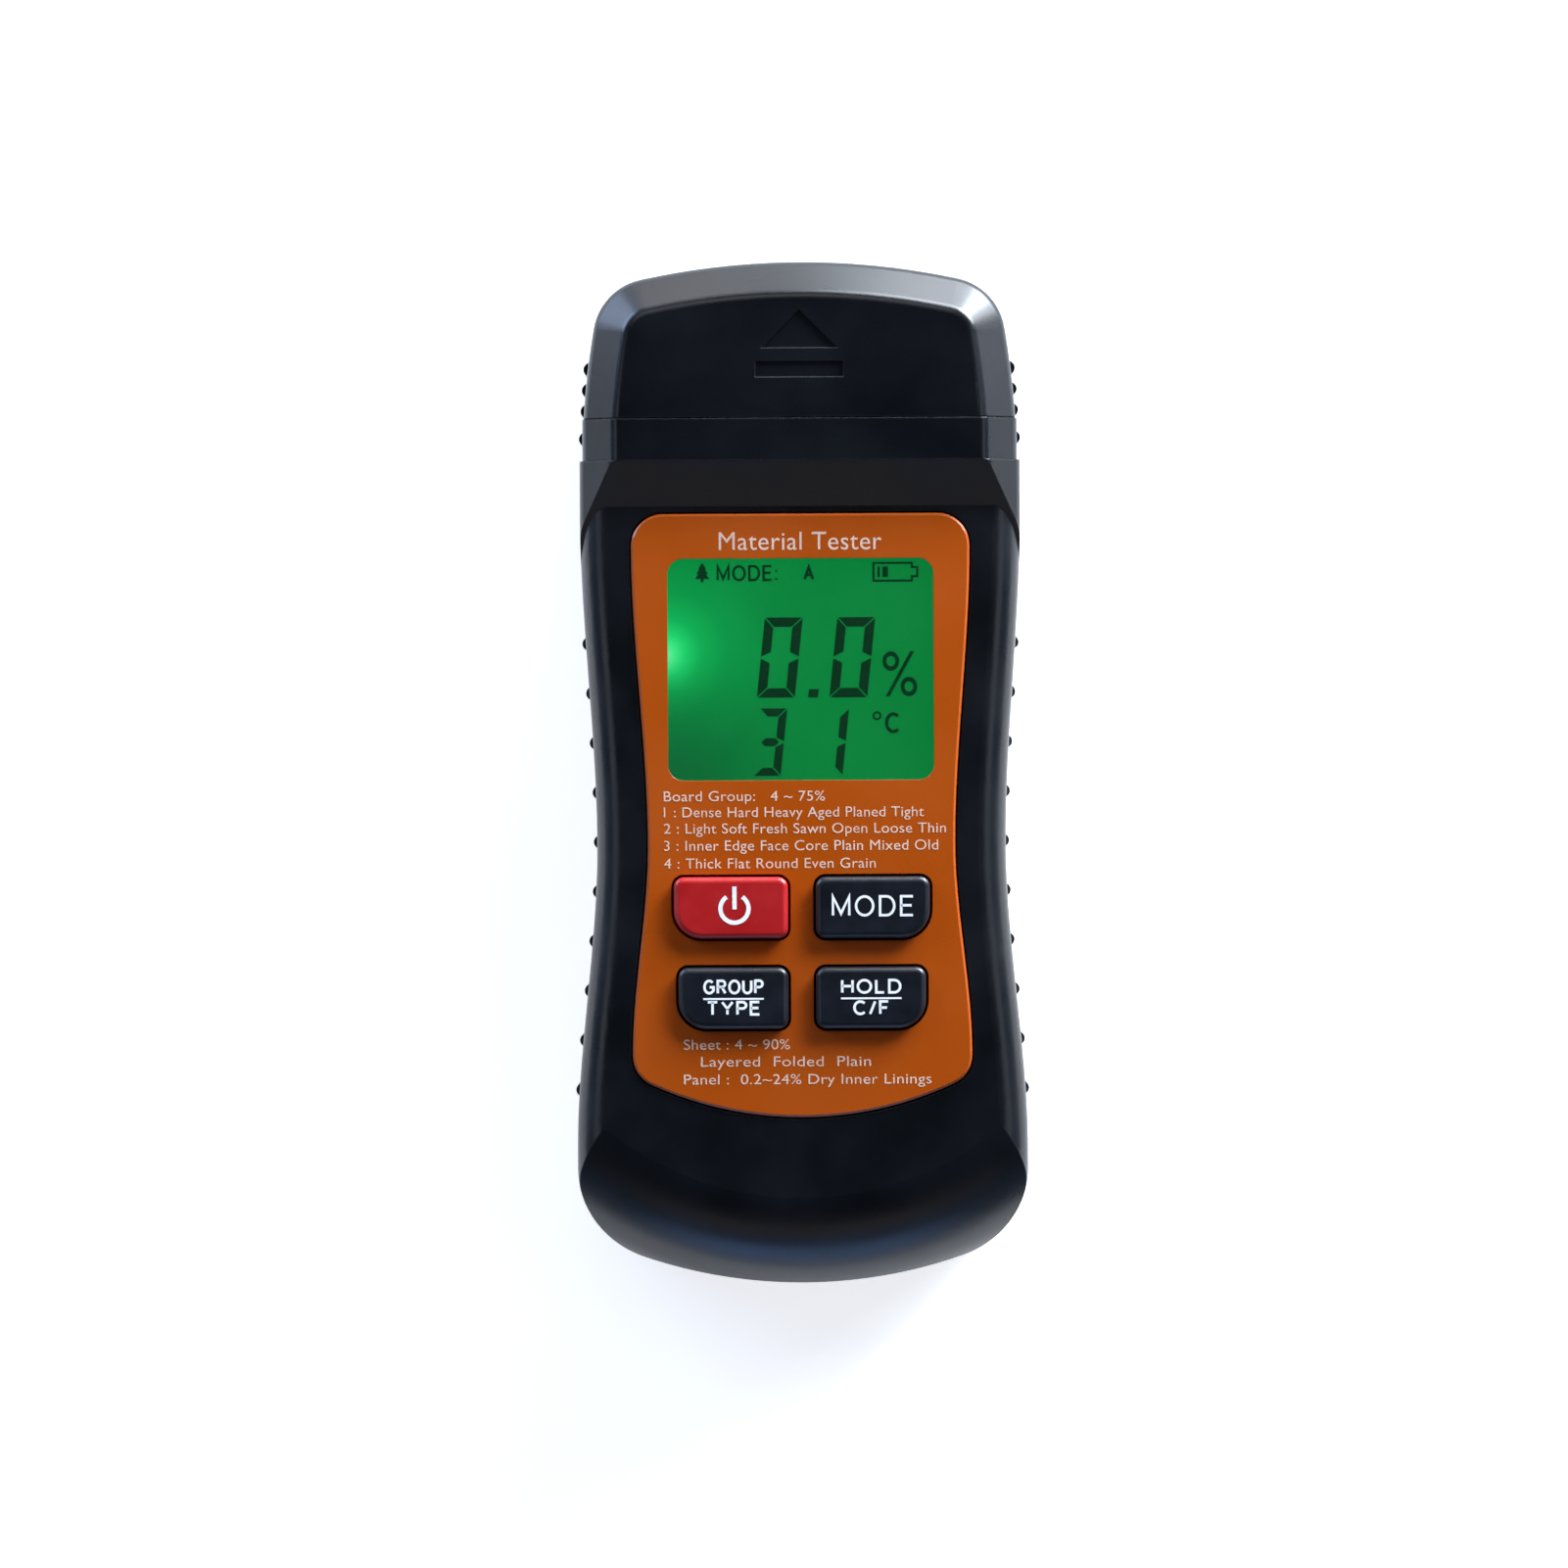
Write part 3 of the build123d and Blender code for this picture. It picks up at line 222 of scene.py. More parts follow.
@dataclass(frozen=True)
class Backlit(Grained):
    """A liquid-crystal cell lit from a lamp at its edge: a hot spot that fades to an even glow."""

    lamp: tuple[float, float, float] = (0.0, 0.0, 0.0)
    dim_corner: tuple[float, float, float] = (0.0, 0.0, 0.0)
    steps: tuple[tuple[float, str], ...] = ((0.0, "#32FF8C"), (1.0, "#08873C"))
    reach_mm: float = 40.0
    dim: str = "#0C6E37"
    dim_mm: float = 26.0

    def light_up(self, tree: bpy.types.NodeTree, place: bpy.types.NodeSocket,
                 patches: bpy.types.NodeSocket, shader: bpy.types.Node) -> None:
        """Colours the glow by its distance from the lamp, and dims one corner.

        Args:
            tree: the material's node tree.
            place: the point on the object.
            patches: the slow noise from 0 to 1; not used.
            shader: the shader that glows.
        """
        away = add_node(tree, "ShaderNodeVectorMath", {
            0: place, 1: [c * MM for c in self.lamp]}, operation="DISTANCE").outputs["Value"]
        ramp = add_node(tree, "ShaderNodeValToRGB", {
            0: add_node(tree, "ShaderNodeMapRange", {
                "Value": away, "From Max": self.reach_mm * MM}).outputs["Result"]})
        elements = ramp.color_ramp.elements
        for i, (stop, code) in enumerate(self.steps):
            element = elements[i] if i < 2 else elements.new(stop)
            element.position = stop
            element.color = linear(code)
        corner = add_node(tree, "ShaderNodeVectorMath", {
            0: place, 1: [c * MM for c in self.dim_corner]}, operation="DISTANCE").outputs["Value"]
        mix = add_node(tree, "ShaderNodeMix", {
            0: add_node(tree, "ShaderNodeMapRange", {
                "Value": corner, "From Max": self.dim_mm * MM, "To Min": 0.85, "To Max": 0.0},
                interpolation_type="SMOOTHSTEP").outputs["Result"]}, data_type="RGBA")
        glow = [s for s in mix.inputs if s.type == "RGBA"]
        tree.links.new(ramp.outputs["Color"], glow[0])
        glow[1].default_value = linear(self.dim)
        tree.links.new(next(s for s in mix.outputs if s.type == "RGBA"), shader.inputs["Emission Color"])
        shader.inputs["Emission Strength"].default_value = 1.0


@dataclass(frozen=True)
class Glowing(Grained):
    """A surface that shows its own tone by light from behind, such as a figure on a lit display."""

    glow: str = "#0B3B22"

    def light_up(self, tree: bpy.types.NodeTree, place: bpy.types.NodeSocket,
                 patches: bpy.types.NodeSocket, shader: bpy.types.Node) -> None:
        """Gives the shader its even glow.

        Args:
            tree: the material's node tree; not used.
            place: the point on the object; not used.
            patches: the slow noise from 0 to 1; not used.
            shader: the shader that glows.
        """
        shader.inputs["Emission Color"].default_value = linear(self.glow)
        shader.inputs["Emission Strength"].default_value = 1.0


@dataclass(frozen=True)
class Banded(Grained):
    """A surface with printed or turned bands across one axis, each with its own tone."""

    axis: Axis = Axis.Y
    start_mm: float = 0.0
    length_mm: float = 1.0
    bands: tuple[tuple[float, str], ...] = ((0.0, "#101010"),)

    def tone(self, tree: bpy.types.NodeTree, place: bpy.types.NodeSocket,
             patches: bpy.types.NodeSocket) -> bpy.types.NodeSocket:
        """Steps the tone along the axis.

        Args:
            tree: the material's node tree.
            place: the point on the object.
            patches: the slow noise from 0 to 1; not used.

        Returns:
            The colour output.
        """
        along = add_node(tree, "ShaderNodeSeparateXYZ", {0: place}).outputs[self.axis.value]
        ramp = add_node(tree, "ShaderNodeValToRGB", {
            0: add_node(tree, "ShaderNodeMapRange", {
                "Value": along, "From Min": self.start_mm * MM,
                "From Max": (self.start_mm + self.length_mm) * MM}).outputs["Result"]})
        ramp.color_ramp.interpolation = "CONSTANT"
        elements = ramp.color_ramp.elements
        elements.remove(elements[1])
        for i, (stop, code) in enumerate(self.bands):
            element = elements[0] if i == 0 else elements.new(stop)
            element.position = stop
            element.color = linear(code)
        return ramp.outputs["Color"]


@dataclass(frozen=True)
class Traced(Grained):
    """A green solder mask over copper tracks, which show as paler lines."""

    track_mm: float = 2.2
    track_width_mm: float = 0.3
    track_tone: str = "#2E7A45"

    def tone(self, tree: bpy.types.NodeTree, place: bpy.types.NodeSocket,
             patches: bpy.types.NodeSocket) -> bpy.types.NodeSocket:
        """Lays straight tracks over the mask.

        Args:
            tree: the material's node tree.
            place: the point on the object.
            patches: the slow noise from 0 to 1; not used.

        Returns:
            The colour output.
        """
        tracks = add_node(tree, "ShaderNodeTexBrick", {
            "Vector": place, "Color1": linear(self.shade), "Color2": linear(self.tint),
            "Mortar": linear(self.track_tone), "Scale": 1.0,
            "Mortar Size": self.track_width_mm * MM / 2,
            "Brick Width": 3 * self.track_mm * MM, "Row Height": self.track_mm * MM})
        return tracks.outputs["Color"]


# ABS, spark-eroded in the mould: a near-black satin whose bevels pick up the room. The real grain is
# about 0.1 mm; it is drawn at 0.35 mm so that it shows.
CASE_ABS = Grained("abs_spark_eroded_case", "#06080C", "#0A0D13", 14, 0.35, 0.005, 0.3,
                   roughness_spread=0.05, ior=1.53, edge_mm=0.25)
# The same ABS, a little smoother: the cap shows a cleaner reflection than the case.
CAP_ABS = Grained("abs_satin_cap", "#05080C", "#090D13", 18, 0.4, 0.004, 0.27,
                  roughness_spread=0.04, ior=1.53, edge_mm=0.2)
# Thermoplastic rubber moulded over the sides: duller and softer than the case.
GRIP_TPR = Grained("tpr_moulded_grip", "#08090C", "#0D0F12", 6, 0.5, 0.012, 0.5,
                   roughness_spread=0.05, ior=1.48, sheen=0.15, edge_mm=0.15)
# Polycarbonate overlay printed orange on its back: an even colour under a hard, glossy skin.
PLATE_PC = Grained("polycarbonate_printed_overlay", "#AA4803", "#B04C05", 22, 1.6, 0.004, 0.3,
                   roughness_spread=0.05, ior=1.58, coat=0.25, coat_roughness=0.12, edge_mm=0.15)
# Clear acrylic, cast and polished: nearly unseen but for the room on its face.
WINDOW_ACRYLIC = Grained("acrylic_polished_window", "#F2FAF5", "#FAFEFB", 20, 6, 0.0006, 0.03,
                         roughness_spread=0.01, ior=1.49, transmission=1.0)
# Acrylic light guide, moulded: clear with a faint milky grain that spreads the lamp.
GUIDE_ACRYLIC = Grained("acrylic_moulded_light_guide", "#E4F2E8", "#F0FAF2", 8, 0.6, 0.01, 0.25,
                        roughness_spread=0.04, ior=1.49, transmission=0.8)
# Silicone rubber, moulded and sprayed with a clear skin: a soft satin under a weak gloss.
KEY_RED = Grained("silicone_moulded_red", "#A51719", "#AE1C1E", 5, 0.5, 0.006, 0.34,
                  roughness_spread=0.05, ior=1.43, coat=0.3, coat_roughness=0.2, subsurface=0.05,
                  edge_mm=0.3)
KEY_BLACK = Grained("silicone_moulded_black", "#0B0F16", "#10151E", 5, 0.5, 0.006, 0.36,
                    roughness_spread=0.05, ior=1.43, coat=0.3, coat_roughness=0.2, edge_mm=0.3)
# Bare silicone rubber of the mat and the contact strip: dull, with a fine even grain.
MAT_GREY = Grained("silicone_moulded_grey", "#6E7376", "#7C8184", 6, 0.6, 0.008, 0.55, ior=1.43)
# Carbon-filled silicone pill: dead black, almost no gloss.
CARBON = Grained("carbon_silicone_pill", "#0A0A0A", "#141414", 1, 0.3, 0.01, 0.8, ior=1.45)
# Printing ink on plastic: a thin, slightly rough film.
INK_WHITE = Grained("pad_print_ink_white", "#E9EAEC", "#F4F5F6", 3, 0.4, 0.004, 0.5, ior=1.5)
INK_BLUSH = Grained("screen_print_ink_pale", "#D9B49E", "#E2C2AE", 3, 0.4, 0.004, 0.5, ior=1.5)
# Darkened liquid crystal: an unlit figure with the backlight's green leaking round it.
FIGURE_LC = Glowing("liquid_crystal_dark_figure", "#04120A", "#061A0E", 4, 1.0, 0.001, 0.4,
                    ior=1.5, specular=0.2, glow="#07301A")
# Ground stainless steel: bright, with a grain too fine to see as lines.
PIN_STEEL = Grained("stainless_steel_ground_pin", "#B9BBBE", "#D6D8DA", 3, 0.25, 0.004, 0.22,
                    roughness_spread=0.06, metallic=1.0)
# Zinc-plated pressed steel: grey, with broad cloudy changes of gloss.
PART_STEEL = Grained("zinc_plated_steel_pressed", "#9EA3A8", "#C3C8CC", 2, 0.4, 0.006, 0.32,
                     roughness_spread=0.08, metallic=1.0, edge_mm=0.1)
# Turned brass and gold plating: warm and bright, the plating a little more even.
BRASS = Grained("brass_turned_socket", "#B08A3C", "#CFA957", 2, 0.3, 0.004, 0.25,
                roughness_spread=0.06, metallic=1.0)
GOLD = Grained("gold_plated_contact", "#D2A544", "#E6BE62", 1.5, 0.2, 0.002, 0.28, metallic=1.0)
# Natural nylon, moulded: a cream tone that lets a little light in.
BLOCK_NYLON = Grained("nylon_moulded_natural", "#D9D5C8", "#E8E4D8", 6, 0.5, 0.008, 0.45,
                      ior=1.53, subsurface=0.1)
# Black polycarbonate, moulded without a grain: dark and only half dull.
FRAME_PC = Grained("polycarbonate_moulded_black", "#0B0B0C", "#121214", 8, 0.5, 0.006, 0.45, ior=1.58)
# Moulded epoxy, ceramic film and coated glass: the board's small parts, dull to glassy.
CHIP_EPOXY = Grained("epoxy_transfer_moulded", "#17181A", "#232426", 1.5, 0.2, 0.008, 0.6, ior=1.55)
RESISTOR = Grained("ceramic_film_resistor", "#141414", "#2A2A2C", 0.8, 0.2, 0.004, 0.4, ior=1.6)
BEAD = Grained("glass_coated_bead", "#5A1C12", "#6B2418", 0.8, 0.4, 0.002, 0.15, ior=1.52, coat=0.5)
# Open-cell polyurethane foam: dead matt. Its pores are drawn at 0.5 mm so that they show.
FOAM = Grained("polyurethane_open_foam", "#26272A", "#3A3B3F", 1.2, 0.5, 0.12, 0.9, ior=1.45,
               sheen=0.3)
# Extruded PVC insulation: smooth, with a slow ripple along the wire.
WIRE_RED = Grained("pvc_extruded_red", "#A81414", "#BE2020", 4, 1.2, 0.006, 0.38, ior=1.54)
WIRE_BLACK = Grained("pvc_extruded_black", "#0C0C0D", "#161618", 4, 1.2, 0.006, 0.38, ior=1.54)
# Glass-fibre board under solder mask: a glossy green with the copper showing as paler lines.
BOARD = Traced("fibreglass_solder_mask", "#0F4A2A", "#125432", 4, 0.5, 0.01, 0.3, ior=1.55, coat=0.3)


# ---- Meshes ----


def make_piece(name: str, mesh: bpy.types.Mesh, body: str, finish: Grained) -> bpy.types.Object:
    """Makes a piece from its mesh, puts it on its body and dresses it.

    Args:
        name: the piece's name.
        mesh: its mesh, in metres in the row frame.
        body: the CAD body that carries it.
        finish: its finish.

    Returns:
        The new object.
    """
    mesh.materials.clear()
    mesh.materials.append(finish.material())
    piece = bpy.data.objects.new(name, mesh)
    bpy.context.scene.collection.objects.link(piece)
    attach(piece, body)
    LOG.info("piece %s rides on %s in %s", name, body, finish.name)
    return piece


def raise_film(name: str, shapes: list[list[Point]], base: float, thickness: float) -> bpy.types.Mesh:
    """Makes a thin film from flat shapes.

    Args:
        name: the mesh's name.
        shapes: closed outlines in millimetres; shapes that share corners are joined.
        base: the film's underside, in millimetres.
        thickness: its thickness, in millimetres.

    Returns:
        A closed mesh in metres.
    """
    bm = bmesh.new()
    for shape in shapes:
        bm.faces.new([bm.verts.new((x * MM, y * MM, base * MM)) for x, y in shape])
    bmesh.ops.remove_doubles(bm, verts=bm.verts, dist=0.002 * MM)
    bmesh.ops.recalc_face_normals(bm, faces=bm.faces)
    grown = bmesh.ops.extrude_face_region(bm, geom=bm.faces[:])
    risen = [g for g in grown["geom"] if isinstance(g, bmesh.types.BMVert)]
    bmesh.ops.translate(bm, verts=risen, vec=(0, 0, thickness * MM))
    bmesh.ops.recalc_face_normals(bm, faces=bm.faces)
    mesh = bpy.data.meshes.new(name)
    bm.to_mesh(mesh)
    bm.free()
    return mesh


def band(points: list[Point], width: float, closed: bool = False) -> list[list[Point]]:
    """Turns a line to a band of quads with mitred corners.

    Args:
        points: the line's points in millimetres.
        width: the band's width in millimetres.
        closed: whether the last point joins the first.

    Returns:
        One quad for each run of the line.
    """
    count = len(points)
    sides: list[tuple[Point, Point]] = []
    for i, (x, y) in enumerate(points):
        before = points[i - 1] if i or closed else None
        after = points[(i + 1) % count] if i < count - 1 or closed else None
        runs = [Vector(after) - Vector((x, y))] if after else []
        runs += [Vector((x, y)) - Vector(before)] if before else []
        across = sum((Vector((-r.y, r.x)).normalized() for r in runs), Vector((0, 0))).normalized()
        reach = width / 2 / max(0.3, across.dot(Vector((-runs[0].y, runs[0].x)).normalized()))
        sides.append(((x + across.x * reach, y + across.y * reach),
                      (x - across.x * reach, y - across.y * reach)))
    last = count if closed else count - 1
    return [[sides[i][0], sides[(i + 1) % count][0], sides[(i + 1) % count][1], sides[i][1]]
            for i in range(last)]


def letter_mesh(words: str) -> bpy.types.Mesh:
    """Makes a flat mesh of some words at size 1, in Blender's own lettering.

    Args:
        words: the words.

    Returns:
        A closed mesh, one unit of thickness high.
    """
    curve = bpy.data.curves.new("lettering", "FONT")
    curve.body = words
    curve.size = 1.0
    curve.extrude = 0.5
    curve.resolution_u = 6
    curve.space_character = 1.04
    writer = bpy.data.objects.new("lettering", curve)
    bpy.context.scene.collection.objects.link(writer)
    bpy.context.view_layer.update()
    graph = bpy.context.evaluated_depsgraph_get()
    mesh = bpy.data.meshes.new_from_object(writer.evaluated_get(graph))
    bpy.data.objects.remove(writer)
    bpy.data.curves.remove(curve)
    return mesh


@dataclass(frozen=True)
class Words:
    """One line of lettering: where it starts and ends, its baseline and its capitals' height."""

    name: str
    text: str
    left: float
    right: float
    baseline: float
    capital: float

    def mesh(self, base: float, thickness: float) -> bpy.types.Mesh:
        """Sets the words to their length and height.

        Args:
            base: the film's underside, in millimetres.
            thickness: its thickness, in millimetres.

        Returns:
            A closed mesh in metres.
        """
        mesh = letter_mesh(self.text)
        capital = letter_mesh("H")
        low = min(v.co.x for v in mesh.vertices)
        high = max(v.co.x for v in mesh.vertices)
        tall = max(v.co.y for v in capital.vertices)
        bpy.data.meshes.remove(capital)
        fit = (Matrix.Translation(Vector((self.left, self.baseline, base + thickness / 2)) * MM)
               @ Matrix.Diagonal(((self.right - self.left) / (high - low) * MM,
                                  self.capital / tall * MM, thickness * MM, 1))
               @ Matrix.Translation((-low, 0, 0)))
        mesh.transform(fit)
        bm = bmesh.new()
        bm.from_mesh(mesh)
        bmesh.ops.remove_doubles(bm, verts=bm.verts, dist=0.0005 * MM)
        bmesh.ops.recalc_face_normals(bm, faces=bm.faces)
        bm.to_mesh(mesh)
        bm.free()
        mesh.name = self.name
        return mesh


def arc(x: float, y: float, wide: float, tall: float, start: float, end: float) -> list[Point]:
    """Gives points along an ellipse's arc.

    Args:
        x: its centre.
        y: its centre.
        wide: half its width.
        tall: half its height.
        start: the first angle, in degrees.
        end: the last angle, in degrees.

    Returns:
        The points, about 15 degrees apart.
    """
    runs = max(4, round(abs(end - start) / 15))
    angles = (math.radians(start + (end - start) * i / runs) for i in range(runs + 1))
    return [(x + wide * math.cos(a), y + tall * math.sin(a)) for a in angles]


@dataclass(frozen=True)
class Letter:
    """One plain letter as strokes on a cell one unit high."""

    width: float
    strokes: tuple[tuple[Point, ...], ...]
    closed: bool = False


LETTERS: dict[str, Letter] = {
    "A": Letter(0.78, (((0, 0), (0.39, 1), (0.78, 0)), ((0.15, 0.36), (0.63, 0.36)))),
    "C": Letter(0.72, (tuple(arc(0.4, 0.5, 0.4, 0.5, 45, 315)),)),
    "D": Letter(0.7, (((0, 0), (0, 1), *arc(0.32, 0.5, 0.38, 0.5, 90, -90)),), closed=True),
    "E": Letter(0.58, (((0.58, 1), (0, 1), (0, 0), (0.58, 0)), ((0, 0.52), (0.52, 0.52)))),
    "F": Letter(0.54, (((0.54, 1), (0, 1), (0, 0)), ((0, 0.5), (0.46, 0.5)))),
    "G": Letter(0.78, ((*arc(0.4, 0.5, 0.4, 0.5, 45, 318), (0.76, 0.22), (0.76, 0.48),
                        (0.44, 0.48)),)),
    "H": Letter(0.66, (((0, 0), (0, 1)), ((0.66, 0), (0.66, 1)), ((0, 0.52), (0.66, 0.52)))),
    "L": Letter(0.5, (((0, 1), (0, 0), (0.5, 0)),)),
    "M": Letter(0.8, (((0, 0), (0, 1), (0.4, 0.1), (0.8, 1), (0.8, 0)),)),
    "O": Letter(0.84, (tuple(arc(0.42, 0.5, 0.42, 0.5, 0, 345)),), closed=True),
    "P": Letter(0.6, (((0, 0), (0, 1), *arc(0.34, 0.74, 0.26, 0.26, 90, -90), (0, 0.48)),)),
    "R": Letter(0.64, (((0, 0), (0, 1), *arc(0.36, 0.75, 0.25, 0.25, 90, -90), (0, 0.5)),
                       ((0.34, 0.5), (0.64, 0)))),
    "T": Letter(0.66, (((0, 1), (0.66, 1)), ((0.33, 1), (0.33, 0)))),
    "U": Letter(0.66, (((0, 1), *arc(0.33, 0.33, 0.33, 0.33, 180, 360), (0.66, 1)),)),
    "Y": Letter(0.72, (((0, 1), (0.36, 0.47), (0.72, 1)), ((0.36, 0.47), (0.36, 0)))),
    "/": Letter(0.34, (((0, 0), (0.34, 1)),)),
    ":": Letter(0.0, (((0, 0), (0, 0.13)), ((0, 0.6), (0, 0.73)))),
}


@dataclass(frozen=True)
class Strokes:
    """A word in plain even strokes: its span, its baseline, its capitals' height and its pen."""

    name: str
    text: str
    left: float
    right: float
    baseline: float
    capital: float
    pen: float
    space: float = 0.34

    def mesh(self, base: float, thickness: float) -> bpy.types.Mesh:
        """Sets the word to its span and height.

        Args:
            base: the film's underside, in millimetres.
            thickness: its thickness, in millimetres.

        Returns:
            A closed mesh in metres.
        """
        letters = [LETTERS[c] for c in self.text]
        length = sum(k.width for k in letters) + self.space * (len(letters) - 1)
        across = (self.right - self.left - self.pen) / length
        tall = self.capital - self.pen
        shapes: list[list[Point]] = []
        start = self.left + self.pen / 2
        for letter in letters:
            for stroke in letter.strokes:
                line = [(start + x * across, self.baseline + self.pen / 2 + y * tall) for x, y in stroke]
                shapes += band(line, self.pen, letter.closed)
            start += (letter.width + self.space) * across
        return raise_film(self.name, shapes, base, thickness)


@dataclass
class Dressed:
    """A sub-assembly whose CAD nodes are carried over with a finish each."""

    finishes: dict[str, Grained]

    def dress(self) -> None:
        """Gives each carried-over node its finish."""
        for name, finish in self.finishes.items():
            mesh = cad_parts[name].data
            mesh.materials.clear()
            mesh.materials.append(finish.material())
            LOG.info("node %s wears %s", name, finish.name)


# ---- Sub-assemblies ----


@dataclass
class Housing(Dressed):
    """The two shells, the side grips, the head with its cap, the battery door and the screws."""

    finishes: dict[str, Grained] = field(default_factory=lambda: {
        "front_shell": CASE_ABS, "rear_shell": CASE_ABS, "battery_door": CASE_ABS,
        "head_collar": CAP_ABS, "cap": CAP_ABS, "left_grip": GRIP_TPR, "right_grip": GRIP_TPR,
        "housing_screws": PART_STEEL})


@dataclass
class Faceplate(Dressed):
    """The printed orange overlay and its lettering."""

    finishes: dict[str, Grained] = field(default_factory=lambda: {"faceplate": PLATE_PC})
    film: float = 0.03
    title_rise: float = 1.25
    title_capital: float = 2.5
    title_half_length: float = 11.45
    row_capital: float = 1.4
    row_start: float = -0.7
    row_drops: tuple[float, ...] = (2.95, 5.2, 7.5, 9.9, 12.4)
    row_ends: tuple[float, ...] = (3.3, 17.2, 20.3, 19.2, 10.4)
    rows: tuple[str, ...] = (
        "Board Group:   4 ~ 75%",
        "1 : Dense Hard Heavy Aged Planed Tight",
        "2 : Light Soft Fresh Sawn Open Loose Thin",
        "3 : Inner Edge Face Core Plain Mixed Old",
        "4 : Thick Flat Round Even Grain")
    note_drops: tuple[float, ...] = (2.2, 4.6, 7.1)
    note_spans: tuple[Point, ...] = ((-16.7, -1.8), (-14.3, 9.6), (-16.7, 18.1))
    notes: tuple[str, ...] = (
        "Sheet : 4 ~ 90%", "Layered  Folded  Plain", "Panel :  0.2~24% Dry Inner Linings")

    def print_words(self) -> None:
        """Prints the title, the five rows under the display and the three under the keys."""
        window_low, window_high = box("display_window")
        keys_low = box("wall_key")[0]
        top = box("faceplate")[1].z
        lines = [Words("plate_title", "Material Tester", -self.title_half_length,
                       self.title_half_length, window_high.y + self.title_rise,
                       self.title_capital)]
        for i, (text, drop, end) in enumerate(zip(self.rows, self.row_drops, self.row_ends)):
            lines.append(Words(f"plate_row_{i + 1}", text, window_low.x + self.row_start, end,
                               window_low.y - drop, self.row_capital))
        for i, (text, drop, span) in enumerate(zip(self.notes, self.note_drops, self.note_spans)):
            lines.append(Words(f"plate_note_{i + 1}", text, *span, keys_low.y - drop,
                               self.row_capital))
        for line in lines:
            make_piece(line.name, line.mesh(top, self.film), "meter", INK_BLUSH)


class Segment(Enum):
    """The seven bars of a figure."""

    TOP = "top"
    UPPER_LEFT = "upper_left"
    UPPER_RIGHT = "upper_right"
    MIDDLE = "middle"
    LOWER_LEFT = "lower_left"
    LOWER_RIGHT = "lower_right"
    BOTTOM = "bottom"


FIGURES: dict[str, tuple[Segment, ...]] = {
    "0": (Segment.TOP, Segment.UPPER_LEFT, Segment.UPPER_RIGHT, Segment.LOWER_LEFT,
          Segment.LOWER_RIGHT, Segment.BOTTOM),
    "1": (Segment.UPPER_RIGHT, Segment.LOWER_RIGHT),
    "3": (Segment.TOP, Segment.UPPER_RIGHT, Segment.MIDDLE, Segment.LOWER_RIGHT, Segment.BOTTOM),
}


@dataclass(frozen=True)
class Figure:
    """One slanted seven-bar figure."""

    name: str
    figure: str
    left: float
    base: float
    width: float
    height: float
    bar: float
    slant: float = math.tan(math.radians(6))
    gap: float = 0.11

    def shapes(self) -> list[list[Point]]:
        """Gives the outline of each bar that the figure lights.

        Returns:
            Closed outlines in millimetres.
        """
        w, h, b, g = self.width, self.height, self.bar, self.gap
        half = h / 2
        across = [(g, 0), (w - g, 0), (w - b - g, b), (b + g, b)]
        down = [(0, g), (b, b + g), (b, half - b / 2 - g), (0, half - g)]
        bars = {
            Segment.BOTTOM: across,
            Segment.TOP: [(x, h - y) for x, y in across],
            Segment.MIDDLE: [(b / 2 + g, half), (b + g, half - b / 2), (w - b - g, half - b / 2),
                             (w - b / 2 - g, half), (w - b - g, half + b / 2),
                             (b + g, half + b / 2)],
            Segment.LOWER_LEFT: down,
            Segment.LOWER_RIGHT: [(w - x, y) for x, y in down],
            Segment.UPPER_LEFT: [(x, h - y) for x, y in down],
            Segment.UPPER_RIGHT: [(w - x, h - y) for x, y in down],
        }
        return [[(self.left + x + self.slant * y, self.base + y) for x, y in bars[s]]
                for s in FIGURES[self.figure]]


